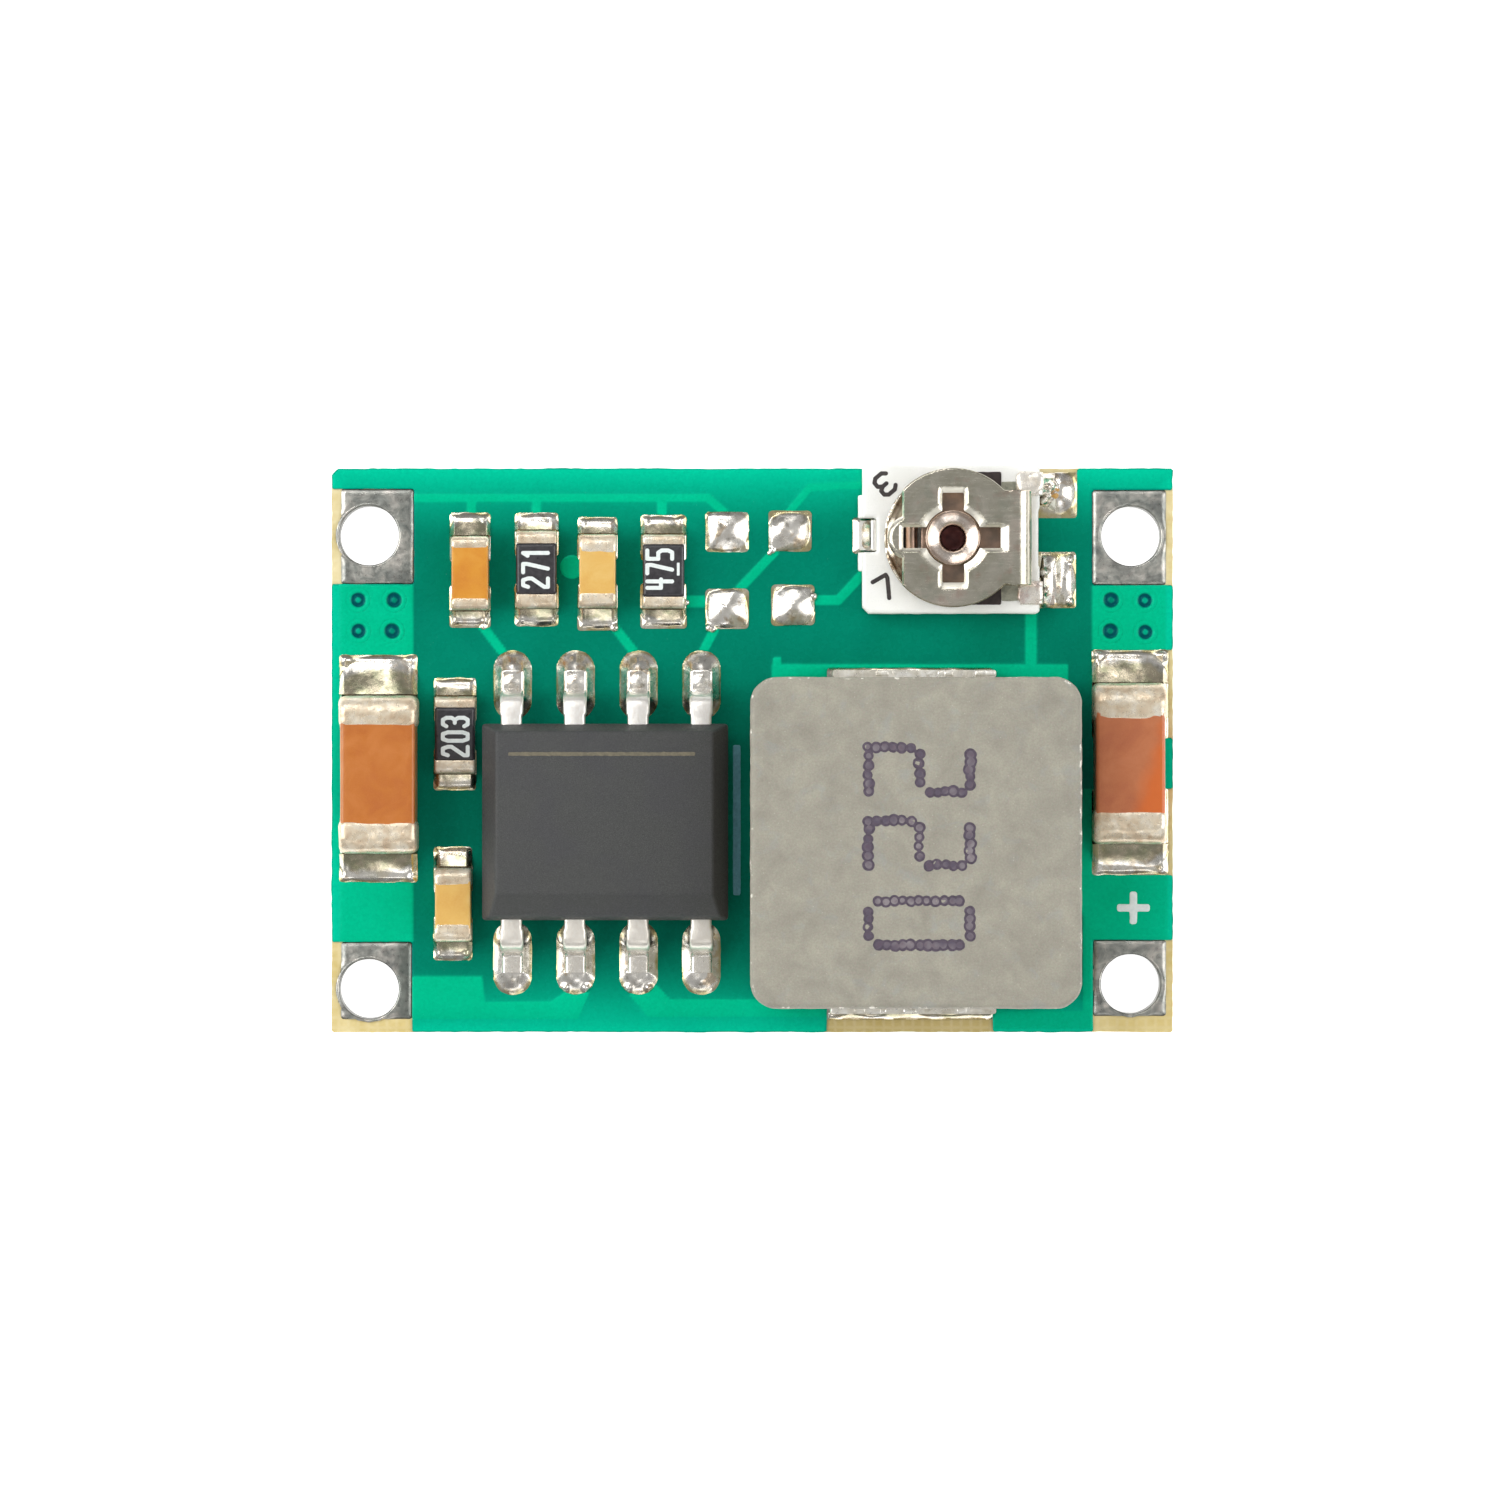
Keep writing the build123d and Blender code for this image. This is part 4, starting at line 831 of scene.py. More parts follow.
def joined(*parts):
    verts, faces, n = [], [], 0
    for v, f in parts:
        verts.append(np.asarray(v, float))
        faces += [[k + n for k in face] for face in f]
        n += len(v)
    return np.concatenate(verts), faces


def piece(name, data, material, body="module", node=(), angle=38):
    verts, faces = data
    me = bpy.data.meshes.new(name)
    me.from_pydata((np.asarray(verts, float) * MM).tolist(), [], faces)
    me.validate()
    bm = bmesh.new()
    bm.from_mesh(me)
    loose = [v for v in bm.verts if not v.link_faces]
    bmesh.ops.delete(bm, geom=loose, context="VERTS")
    bmesh.ops.recalc_face_normals(bm, faces=bm.faces)
    bm.to_mesh(me)
    bm.free()
    me.polygons.foreach_set("use_smooth", [True] * len(me.polygons))
    me.set_sharp_from_angle(angle=math.radians(angle))
    me.materials.append(material)
    me.update()
    ob = bpy.data.objects.new(name, me)
    scene.collection.objects.link(ob)
    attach(ob, body)
    if node:
        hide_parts(*((node,) if isinstance(node, str) else node))
    return ob


def dress(node, material):
    """A new material for a CAD node that keeps its shape."""
    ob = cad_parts[node]
    if ob.material_slots:
        for s in ob.material_slots:
            s.material = material
    else:
        ob.data.materials.append(material)


# ------------------------------------------------------------------ layout, repeated in millimetres
Z_LAM0, Z_LAM1, Z_CU, Z_TOP = 0.055, 0.745, 0.780, 0.800
TERMINALS = {
    "input_ground_terminal": ((-7.733, 4.333), (-8.298, -6.825, 3.355, 5.271)),
    "input_positive_terminal": ((-7.733, -4.817), (-8.298, -6.865, -5.423, -3.869)),
    "output_ground_terminal": ((7.642, 4.323), (6.855, 8.348, 3.334, 5.251)),
    "output_positive_terminal": ((7.634, -4.717), (6.876, 8.348, -5.362, -3.829)),
}
TERMINAL_WINDOWS = (
    (-8.60, -6.825, 3.355, 5.271), (-8.60, -6.865, -5.80, -3.869),
    (6.855, 8.60, 3.334, 5.251), (6.876, 8.60, -5.80, -3.829),
)
VIAS = ((-7.955, 3.032), (-7.229, 3.032), (-7.945, 2.406), (-7.269, 2.406),
        (7.239, 3.032), (7.925, 3.022), (7.229, 2.406), (7.935, 2.386), (-3.637, 3.698))
REG_X, REG_Y = -2.955, -1.440
LEAD_XS = [REG_X + 0.025 + 1.27 * (i - 1.5) for i in range(4)]
UP_PAD, LO_PAD = (0.62, 2.010), (-4.930, -3.45)
IND_X, IND_Y, HALF = 3.250, -1.838, 3.30
CIN = (-7.500, -0.490, 1.58, 3.18, 1.55, 0.615)
COUT = (7.572, -0.264, 1.47, 3.24, 1.55, 0.68)
CAPS = {
    "chip_capacitor_1": (-5.675, 3.564, 0.78, 1.50, 0.23, -6.099, -5.292, 2.487, 4.787),
    "chip_capacitor_2": (-3.112, 3.604, 0.77, 1.50, 0.33, -3.516, -2.729, 2.426, 4.706),
    "chip_capacitor_3": (-6.017, -3.112, 0.76, 1.50, 0.33, -6.422, -5.655, -4.232, -1.952),
}
RESISTORS = {
    "chip_resistor_1": (-4.348, 3.640, 0.84, 1.58, 0.28, -4.787, -3.919, 2.507, 4.787),
    "chip_resistor_2": (-1.784, 3.600, 0.86, 1.50, 0.22, -2.245, -1.337, 2.467, 4.747),
    "chip_resistor_3": (-5.987, 0.306, 0.83, 1.56, 0.24, -6.422, -5.574, -0.802, 1.458),
}
SPARE = ((-0.509, 4.404), (0.762, 4.423), (-0.509, 2.851), (0.822, 2.931))
TX, TY = 4.024, 4.260


def s_board(x, y):
    """Board outline with a faintly ragged sawn edge, never outside its box."""
    wx = 0.012 + 0.012 * fbm(y, 0 * y + 3 * np.sign(x), 0, 2.2, 3) + 0.006 * bumps(y, 0 * y, 1.0, 9, 4)
    wy = 0.012 + 0.012 * fbm(x, 0 * x + 5 * np.sign(y), 0, 1.6, 9) + 0.006 * bumps(x, 0 * x, 2.0, 9, 5)
    d = np.maximum(np.abs(x) - 8.5 + np.maximum(wx, 0), np.abs(y) - 5.7 + np.maximum(wy, 0))
    d = np.maximum(d, (y - x - 14.2 + 0.15) / math.sqrt(2))
    d = np.maximum(d, (np.abs(x) + np.abs(y) - 14.2 + 0.03) / math.sqrt(2))
    return d


def chip_boxes(keep=0.52):
    for cx, cy, w, l, t, x0, x1, y0, y1 in list(CAPS.values()) + list(RESISTORS.values()):
        yield x0, x1, cy + l / 2 - keep, y1
        yield x0, x1, y0, cy - l / 2 + keep


COPPER_RECTS = [
    (-8.318, -6.845, 0.380, 3.355), (-8.318, -6.765, 0.380, 1.922), (-8.318, -6.845, -3.869, -1.360),
    (-8.318, -6.765, -2.658, -1.360), (1.500, 4.858, -5.430, -3.980), (0.399, 6.371, 1.458, 1.740),
    (0.419, 0.580, 1.700, 1.882), (1.500, 4.858, 0.300, 1.500), (5.250, 6.371, -3.300, 1.500),
    (5.250, 6.900, -3.300, -1.000), (6.855, 8.348, 0.250, 3.334), (6.855, 8.389, 0.250, 2.023),
    (6.674, 8.389, -3.829, -0.780), (6.674, 6.880, -5.624, -3.800), (4.858, 6.876, -5.624, -5.261),
    (-1.360, -0.900, 2.890, 3.112), (5.300, 6.553, 4.686, 5.600), (5.300, 6.532, 2.870, 4.000),
    (2.020, 2.700, 3.965, 4.695),
]
COPPER_RECTS += list(chip_boxes()) + [(x - 0.43, x + 0.43, y - 0.40, y + 0.40) for x, y in SPARE]
COPPER_LINES = [
    (0.162, [(-6.90, 5.090), (-0.893, 5.090), (-0.509, 4.750)]),
    (0.185, [(-5.665, 5.05), (-5.665, 4.70)]), (0.185, [(-4.354, 5.05), (-4.354, 4.70)]),
    (0.185, [(-1.821, 5.05), (-1.821, 4.66)]), (0.235, [(5.625, 1.70), (5.625, 2.95)]),
    (0.180, [(-5.480, 2.550), (-4.930, 1.840)]), (0.180, [(-2.850, 2.580), (-2.290, 1.860)]),
    (0.180, [(-0.700, 2.560), (-1.030, 1.920)]), (0.180, [(0.450, 4.000), (-0.330, 3.180)]),
    (0.150, [(0.700, 4.760), (1.165, 5.310), (2.600, 5.372)]),
    (0.190, [(1.220, 3.032), (1.740, 3.032), (2.600, 3.960)]),
]
COPPER_POLYS = [
    [(-6.900, -4.555), (-5.453, -4.555), (-5.392, -5.080), (-4.061, -5.060), (-3.778, -4.880),
     (-3.274, -4.860), (-3.516, -5.423), (-6.900, -5.423)],
    [(-2.467, -4.950), (-2.104, -5.382), (1.507, -5.382), (1.507, -5.027), (-1.660, -5.027),
     (-1.960, -4.700), (-2.467, -4.700)],
]


def s_lead_pads(x, y, grow=0.0):
    out = None
    for px in LEAD_XS:
        for y0, y1 in (UP_PAD, LO_PAD):
            d = s_line(x, y, [(px, y0 + 0.38), (px, y1 - 0.38)], 0.76 + 2 * grow)
            out = d if out is None else np.minimum(out, d)
    return out


def s_copper(x, y):
    out = s_lead_pads(x, y)
    for r in COPPER_RECTS:
        out = np.minimum(out, s_box(x, y, *r))
    for w, pts in COPPER_LINES:
        out = np.minimum(out, s_line(x, y, pts, w))
    for pts in COPPER_POLYS:
        out = np.minimum(out, s_poly(x, y, pts))
    out = np.minimum(out, s_circle(x, y, -3.637, 3.698, 0.24))
    return out


def s_windows(x, y):
    out = s_lead_pads(x, y)
    boxes = [(-8.318, -6.765, 0.380, 1.922), (-8.318, -6.765, -2.658, -1.360), (6.855, 8.60, 0.250, 2.023),
             (6.855, 8.60, -2.517, -0.780), (1.507, 4.855, 0.300, 1.660), (1.507, 4.855, -5.80, -3.980),
             (5.300, 6.553, 4.686, 5.80), (5.300, 6.532, 2.870, 4.000), (2.020, 2.700, 3.965, 4.695)]
    boxes += list(chip_boxes()) + [(sx - 0.43, sx + 0.43, sy - 0.40, sy + 0.40) for sx, sy in SPARE]
    boxes += list(TERMINAL_WINDOWS)
    for b in boxes:
        out = np.minimum(out, s_box(x, y, *b, r=0.04))
    return out + 0.006 * fbm(x, y, 0, 5, 21)


# ------------------------------------------------------------------ board
def s_mask(x, y):
    d = np.maximum(s_board(x, y), -s_windows(x, y))
    for vx, vy in VIAS:
        d = np.maximum(d, -s_circle(x, y, vx, vy, 0.235))
    return d


def mask_top(x, y, s):
    lift = step(0.035, -0.035, s_copper(x, y))
    z = 0.785 + 0.015 * lift + 0.0012 * fbm(x, y, 0, 1.4, 31)
    z = z - 0.008 * (1 - np.clip(-s / 0.035, 0, 1)) ** 2
    return np.minimum(z, 0.8025)


piece("green_coating_upper", relief(-8.6, 8.6, -5.8, 5.8, 0.05, s_mask, mask_top, Z_LAM1, fill=True),
      MASK_TOP, node="solder_mask_top", angle=50)

caps = []
for k, (vx, vy) in enumerate(VIAS):
    def cap_top(x, y, s):
        # the coating sags into the barrel: a dark ring with a paler middle
        q = np.hypot(x - vx + 0.006 * bumps(x, y, 0, 6, 22 + k), y - vy)
        lift = step(0.035, -0.035, s_copper(x, y))
        z = 0.7856 + 0.0150 * lift + 0.0012 * fbm(x, y, 0, 1.4, 31) + 0.0035 * np.exp(-((q - 0.20) / 0.028) ** 2)
        sag = 1.0 if k < 8 else 0.06
        z = z - sag * 0.036 * np.exp(-(np.clip(np.abs(q - 0.105) - 0.012, 0, 1) / 0.036) ** 2) - sag * 0.016 * np.exp(-(q / 0.07) ** 2)
        return z

    caps.append(relief(vx - 0.27, vx + 0.27, vy - 0.27, vy + 0.27, 0.022, lambda x, y: s_circle(x, y, vx, vy, 0.243),
                       cap_top, 0.752))
    caps[-1][0][:, 2] = np.where(caps[-1][0][:, 2] > 0.7521, np.maximum(caps[-1][0][:, 2], 0.7560), 0.752)
piece("via_caps", joined(*caps), MASK_TOP, angle=60)

# plated barrels, all under the coating
for name, spots in (("input_vias", VIAS[:4]), ("output_vias", VIAS[4:8]), ("signal_via", VIAS[8:])):
    piece(name + "_barrels", joined(*[lathe([(0.125, 0.062), (0.125, 0.738), (0.15, 0.738), (0.15, 0.062)], vx, vy, 24)
                                      for vx, vy in spots]), COPPER, node=name)


def s_mask_low(x, y):
    out = s_box(x, y, *TERMINAL_WINDOWS[0], r=0.04)
    for b in TERMINAL_WINDOWS[1:]:
        out = np.minimum(out, s_box(x, y, *b, r=0.04))
    return np.maximum(s_board(x, y), -out)


def mask_bottom(x, y, s):
    pour = s_box(x, y, -8.318, 8.348, -5.423, 5.423)
    for b in ((-8.55, -6.62, -5.75, -3.62), (6.62, 8.55, -5.75, -3.58)):
        pour = np.maximum(pour, -s_box(x, y, *b))
    z = 0.785 + 0.015 * step(0.05, -0.05, pour)
    for vx, vy in VIAS:
        r = np.hypot(x - vx, y - vy)
        z = np.where(r < 0.2, z - 0.035 * (1 - (r / 0.2) ** 2), z)
    return z


piece("green_coating_lower", relief(-8.6, 8.6, -5.8, 5.8, 0.1, s_mask_low, mask_bottom, Z_LAM1, fill=True, flip=0.8),
      MASK_BOTTOM, node="solder_mask_bottom", angle=50)


def s_laminate(x, y):
    d = s_board(x, y)
    for (hx, hy), pad in TERMINALS.values():
        d = np.maximum(d, -s_circle(x, y, hx, hy, 0.64))
    return d


piece("laminate_core", relief(-8.6, 8.6, -5.8, 5.8, 0.05, s_laminate, lambda x, y, s: Z_LAM1 + 0 * x, Z_LAM0,
                              fill=True, flat=True), LAMINATE, node="pcb_laminate")

for number, (name, ((hx, hy), (x0, x1, y0, y1))) in enumerate(TERMINALS.items()):
    def s_pad(x, y):
        d = s_box(x, y, x0, x1, y0, y1, r=0.05) + 0.008 * fbm(x, y, 0, 4, 41 + number)
        d = np.minimum(d, s_circle(x, y, hx, hy, 0.672))
        d = np.maximum(d, np.maximum(np.abs(x) - 8.47, np.abs(y) - 5.68))
        return np.maximum(d, -s_circle(x, y, hx, hy, 0.640))

    def pad_top(x, y, s):
        e = np.clip(-s / 0.09, 0, 1)
        ring = np.hypot(x - hx, y - hy)
        near = step(0.80, 0.68, ring)
        z = 0.7885 - 0.034 * (1 - e) ** 2 * (1 - near) + 0.004 * np.exp(-((e - 0.8) / 0.3) ** 2)
        return z + 0.0035 * fbm(x, y, 0, 3.5, 51 + number) * e

    pad_up = relief(x0 - 0.3, x1 + 0.3, y0 - 0.4, y1 + 0.4, 0.042, s_pad, pad_top, Z_LAM1 - 0.002)
    pad_down = relief(x0 - 0.3, x1 + 0.3, y0 - 0.4, y1 + 0.4, 0.042, s_pad, pad_top, Z_LAM1 - 0.002, flip=0.80)
    barrel = lathe([(0.600, 0.040), (0.600, 0.755), (0.604, 0.772), (0.615, 0.785), (0.632, 0.791),
                    (0.652, 0.791), (0.664, 0.784), (0.664, 0.750), (0.640, 0.742), (0.640, 0.058),
                    (0.664, 0.050), (0.664, 0.016), (0.652, 0.010), (0.632, 0.010), (0.615, 0.015),
                    (0.604, 0.026)], hx, hy, 96)
    bv, bf = barrel
    turn = np.arctan2(bv[:, 1] - hy, bv[:, 0] - hx)
    wob = 0.006 * bumps(np.cos(turn) * 2 + 9, np.sin(turn) * 2, bv[:, 2], 1.6, 61 + number)
    away = np.stack([np.cos(turn), np.sin(turn), 0 * turn], 1)
    inner = (np.hypot(bv[:, 0] - hx, bv[:, 1] - hy) < 0.635)[:, None]
    bv = bv + away * np.maximum(wob, 0)[:, None] * inner
    piece(name + "_tinned", joined(pad_up, pad_down, (bv, bf)), TIN, node=name, angle=45)

dress("copper_top", TIN)
for node in ("copper_bottom",):
    dress(node, COPPER)


def s_plus(x, y):
    return np.minimum(s_box(x, y, 7.36, 8.02, -3.255, -3.105, r=0.05),
                      s_box(x, y, 7.615, 7.765, -3.51, -2.85, r=0.05)) + 0.006 * fbm(x, y, 0, 8, 71)


piece("polarity_cross", relief(7.2, 8.2, -3.7, -2.7, 0.02, s_plus,
                               lambda x, y, s: 0.812 - 0.008 * (1 - np.clip(-s / 0.04, 0, 1)) ** 2, 0.799),
      INK_WHITE, node="polarity_mark")
# a white ink stroke between the regulator and the inductor, painted blue-grey as shade
piece("outline_stroke", relief(-0.50, -0.10, -3.1, 0.3, 0.03,
                               lambda x, y: s_box(x, y, -0.39, -0.235, -2.93, 0.11, r=0.03) + 0.006 * fbm(x, y, 0, 8, 72),
                               lambda x, y, s: 0.797 - 0.006 * (1 - np.clip(-s / 0.04, 0, 1)) ** 2, 0.784),
      INK_SHADED)


# ------------------------------------------------------------------ regulator
def regulator_body():
    bm = bmesh.new()
    t = math.tan(math.radians(12))
    hx, hy, zm, z1, z0, c = 2.48, 1.98, 1.63, 2.38, 0.93, 0.36
    up, dn, lean = (z1 - zm) * t, (zm - z0) * t, 0.30
    pts = []
    for sx in (1, -1):
        for sy in (1, -1):
            pts.append((REG_X + sx * hx, REG_Y + sy * hy, zm))
            pts.append((REG_X + sx * (hx - dn), REG_Y + sy * (hy - dn), z0))
        pts.append((REG_X + sx * (hx - lean), REG_Y + hy - up, z1))
        pts.append((REG_X + sx * (hx - lean), REG_Y - hy + up + c, z1))
        low = z1 - c
        pts.append((REG_X + sx * (hx - (low - zm) / (z1 - zm) * lean), REG_Y - hy + (low - zm) * t, low))
    for p in pts:
        bm.verts.new([v * MM for v in p])
    bmesh.ops.convex_hull(bm, input=bm.verts)
    bmesh.ops.dissolve_limit(bm, angle_limit=0.02, verts=bm.verts, edges=bm.edges)
    bmesh.ops.bevel(bm, geom=list(bm.edges), offset=0.06 * MM, segments=4, affect="EDGES", profile=0.5,
                    clamp_overlap=True)
    me = bpy.data.meshes.new("regulator_shell")
    bm.to_mesh(me)
    bm.free()
    me.polygons.foreach_set("use_smooth", [True] * len(me.polygons))
    me.set_sharp_from_angle(angle=math.radians(30))
    me.materials.append(MOULD)
    ob = bpy.data.objects.new("regulator_shell", me)
    scene.collection.objects.link(ob)
    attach(ob, "module")
    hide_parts("regulator_body")


regulator_body()


def s_bar(x, y):
    return s_box(x, y, -4.883, -1.145, -0.111, -0.037, r=0.02) + 0.012 * fbm(x, y, 0, 14, 81)


piece("laser_bar", relief(-5.0, -1.0, -0.2, 0.05, 0.018, s_bar, lambda x, y, s: 2.383 + 0 * x, 2.3795), LASER)

lead_parts = []
for side in (1, -1):
    for i, x in enumerate(LEAD_XS):
        pts = [(REG_Y + side * 1.18, 1.63), (REG_Y + side * 1.93, 1.63), (REG_Y + side * 2.44, 1.585),
               (REG_Y + side * 2.60, 0.905), (REG_Y + side * 3.04, 0.900)]
        path = turned(pts, 0.17, 10)
        run = np.concatenate([[0], np.cumsum(np.linalg.norm(np.diff(path, axis=0), axis=1))])
        extra = np.linspace(0, run[-1], 64)
        path = np.stack([np.interp(extra, run, path[:, 0]), np.interp(extra, run, path[:, 1])], 1)
        reach = np.abs(path[:, 0] - REG_Y)
        widths = 0.42 + 0.05 * step(2.12, 2.18, reach) * step(2.62, 2.5, reach)
        lead_parts.append(strip(path, widths, 0.20, x, soft=0.06, lump=0.006, seed=100 + 7 * i + side))
piece("regulator_lead_set", joined(*lead_parts), LEAD_WET, node="regulator_leads", angle=40)
dress("regulator_die_pad", COPPER)
dress("regulator_die", SILICON)
dress("regulator_bond_wires", GOLD)


# ------------------------------------------------------------------ inductor
def s_core(x, y):
    d = s_box(x, y, IND_X - HALF, IND_X + HALF, IND_Y - HALF, IND_Y + HALF, r=0.54)
    return d + 0.008 + 0.008 * fbm(x, y, 0, 6, 91, 3)


def core_top(x, y, s):
    e = np.clip(-s / 0.11, 0, 1)
    z = 3.796 - 0.11 * (1 - np.sqrt(np.clip(1 - (1 - e) ** 2, 0, 1)))
    return np.minimum(z + 0.0035 * fbm(x, y, 0, 4, 93, 4), 3.80)


core = relief(IND_X - 3.4, IND_X + 3.4, IND_Y - 3.4, IND_Y + 3.4, 0.05, s_core, core_top, 0.862, fill=True)
piece("inductor_block", core, POWDER, node="inductor_core", angle=60)
dress("inductor_coil", WIRE)

clips = []
rng0 = random.Random(3)
for side in (-1, 1):
    face = HALF + 0.075
    pts = [(IND_Y + side * (HALF - 1.50), 0.875), (IND_Y + side * face, 0.875), (IND_Y + side * face, 1.93)]
    path = turned(pts, 0.14, 8)
    n = len(path)
    k = 40
    run = np.concatenate([[0], np.cumsum(np.linalg.norm(np.diff(path, axis=0), axis=1))])
    extra = np.linspace(0, run[-1], k)
    path = np.stack([np.interp(extra, run, path[:, 0]), np.interp(extra, run, path[:, 1])], 1)
    clips.append(strip(path, [3.28] * k, 0.146, IND_X, soft=0.05, lump=0.0, seed=7))
    for j in range(14):
        bx = IND_X + rng0.uniform(-1.58, 1.58)
        r = rng0.uniform(0.05, 0.11)
        by = IND_Y + side * (HALF + 0.075)
        clips.append(block(bx - r * 1.5, bx + r * 1.5, by - 0.07, by + 0.07, 1.55, 1.935 + rng0.uniform(-0.03, 0.012),
                           0.045, 0.055, 0.012, 7.0, 700 + j))
piece("inductor_clips", joined(*clips), COIL_TIN, node="inductor_terminals", angle=40)

# ------------------------------------------------------------------ digits, all generic
GLYPHS = {
    "0": [[(-.3, .3), (-.18, .5), (.18, .5), (.3, .3), (.3, -.3), (.18, -.5), (-.18, -.5), (-.3, -.3), (-.3, .3)]],
    "1": [[(-.15, .32), (.05, .5), (.05, -.5)]],
    "2": [[(-.3, .3), (-.18, .5), (.18, .5), (.3, .3), (.3, .15), (-.3, -.35), (-.3, -.5), (.3, -.5)]],
    "3": [[(-.3, .36), (-.16, .5), (.16, .5), (.3, .36), (.3, .14), (.14, .02), (-.06, .02)],
          [(.14, .02), (.3, -.12), (.3, -.36), (.16, -.5), (-.16, -.5), (-.3, -.36)]],
    "4": [[(.16, -.5), (.16, .5)], [(-.3, .5), (-.3, -.05), (.3, -.05)]],
    "5": [[(.3, .5), (-.3, .5), (-.3, .06), (.14, .06), (.3, -.08), (.3, -.34), (.16, -.5), (-.3, -.5)]],
    "7": [[(-.3, .5), (.3, .5), (.3, .34), (-.04, -.5)]],
    "two": [[(-.2, .5), (.2, .5)], [(.3, .42), (.3, .1)], [(.18, 0), (-.2, 0)], [(-.3, -.08), (-.3, -.42)], [(-.3, -.5), (.3, -.5)]],
    "zero": [[(-.16, .5), (.16, .5)], [(.3, .40), (.3, -.40)], [(.16, -.5), (-.16, -.5)], [(-.3, -.40), (-.3, .40)]],
}


def glyph_lines(char, cx, cy, height, width, turn_deg):
    """The strokes of one digit, placed with its upright turned by turn_deg."""
    a = math.radians(turn_deg)
    out = []
    for line in GLYPHS[char]:
        out.append([(cx + (px * width / 0.6) * math.cos(a) - (py * height) * math.sin(a),
                     cy + (px * width / 0.6) * math.sin(a) + (py * height) * math.cos(a)) for px, py in line])
    return out


def printed(name, lines, thick, z, ink, material, extra=(), cell=0.0105):
    xs = [p[0] for l in lines for p in l] + [b[i] for b in extra for i in (0, 1)]
    ys = [p[1] for l in lines for p in l] + [b[i] for b in extra for i in (2, 3)]

    def sdf(x, y):
        out = None
        for l in lines:
            d = s_line(x, y, l, thick)
            out = d if out is None else np.minimum(out, d)
        for b in extra:
            out = np.minimum(out, s_box(x, y, *b, r=0.01))
        return out

    pad = thick
    data = relief(min(xs) - pad, max(xs) + pad, min(ys) - pad, max(ys) + pad, cell, sdf,
                  lambda x, y, s: z + ink + 0 * x, z - 0.001)
    piece(name, data, material)


def code(name, text, cx, cy, underline=None):
    lines, pitch = [], 0.292
    for k, ch in enumerate(text):
        lines += glyph_lines(ch, cx, cy + (k - 1) * pitch, 0.50, 0.170, 90)
    extra = []
    if underline is not None:
        y = cy + (underline - 1) * pitch
        extra.append((cx + 0.345, cx + 0.400, y - 0.13, y + 0.13))
    printed(name, lines, 0.080, 1.249, 0.005, INK_WHITE, extra)


code("resistor_code_1", "271", -4.362, 3.665)
code("resistor_code_2", "475", -1.862, 3.645, underline=1)
code("resistor_code_3", "203", -5.977, 0.276)

rng = random.Random(5)
spots = []
for char, cy in (("two", -0.385), ("two", -1.84), ("zero", -3.43)):
    for line in glyph_lines(char, 3.31, cy, 2.02, 0.88, -90):
        run = [0.0]
        for p, q in zip(line, line[1:]):
            run.append(run[-1] + math.dist(p, q))
        n = max(1, int(round(run[-1] / 0.165)))
        for k in range(n + 1):
            t = run[-1] * k / n
            x = float(np.interp(t, run, [p[0] for p in line]))
            y = float(np.interp(t, run, [p[1] for p in line]))
            if all(math.hypot(x - sx, y - sy) > 0.09 for sx, sy, r in spots):
                spots.append((x + rng.uniform(-0.018, 0.018), y + rng.uniform(-0.018, 0.018), rng.uniform(0.100, 0.128)))


def s_spots(x, y, shrink=0.0):
    out = np.full(np.shape(x), 9.0)
    for sx, sy, r in spots:
        out = np.minimum(out, np.hypot(x - sx, y - sy) - r + shrink)
    return out + 0.012 * fbm(x, y, 0, 11, 95)


def s_rings(x, y):
    return np.maximum(s_spots(x, y), -s_spots(x, y, 0.052) + 0.004)


piece("inductor_digits_rims", relief(1.9, 4.75, -4.25, 0.35, 0.020, s_rings, lambda x, y, s: 3.7985 + 0 * x, 3.790),
      INK_DARK)
piece("inductor_digits_fill", relief(1.9, 4.75, -4.25, 0.35, 0.025, lambda x, y: s_spots(x, y, 0.045),
                                     lambda x, y, s: 3.7978 + 0 * x, 3.790), INK_PALE)


# ------------------------------------------------------------------ chip parts
LONGER = {"input_capacitor": (0.05, 0.08), "output_capacitor": (0.11, 0.03), "chip_capacitor_1": (0.05, 0.05),
          "chip_capacitor_2": (0.09, 0.01), "chip_capacitor_3": (0.05, 0.08), "chip_resistor_1": (0.0, 0.03),
          "chip_resistor_2": (0.0, 0.04), "chip_resistor_3": (0.0, 0.05)}


def ends(name, cx, cy, w, l, h, band, soft, cell, lump, seed, z_top=None):
    parts = []
    for side in (1, -1):
        t = band + LONGER[name][0 if side > 0 else 1]
        ya, yb = sorted((cy + side * l / 2, cy + side * (l / 2 - t)))
        g = lump * 0.6
        top = (z_top or Z_TOP + h) - g * 0.6
        P, F = block(cx - w / 2 + g, cx + w / 2 - g, ya + g * (side < 0), yb - g * (side > 0), Z_TOP, top, soft, cell, lump,
                     2.6, seed + side, fine=lump * 0.18)
        v = np.clip((P[:, 1] - (ya + yb) / 2) / (t / 2), -1, 1)
        high = step(Z_TOP + 0.3 * h, Z_TOP + 0.8 * h, P[:, 2])
        crown = 0.17 * t * np.clip(v * side + 0.2, 0, 2) ** 2 + 0.05 * t * (1 - np.exp(-((v - 0.15 * side) / 0.35) ** 2) * (
            0.6 + 0.4 * bumps(P[:, 0], P[:, 1], 0, 6.5, seed + 2)))
        P[:, 2] -= crown * high
        parts.append((P, F))
    piece(name + "_ends_plated", joined(*parts), PLATED, node=name + "_ends", angle=60)


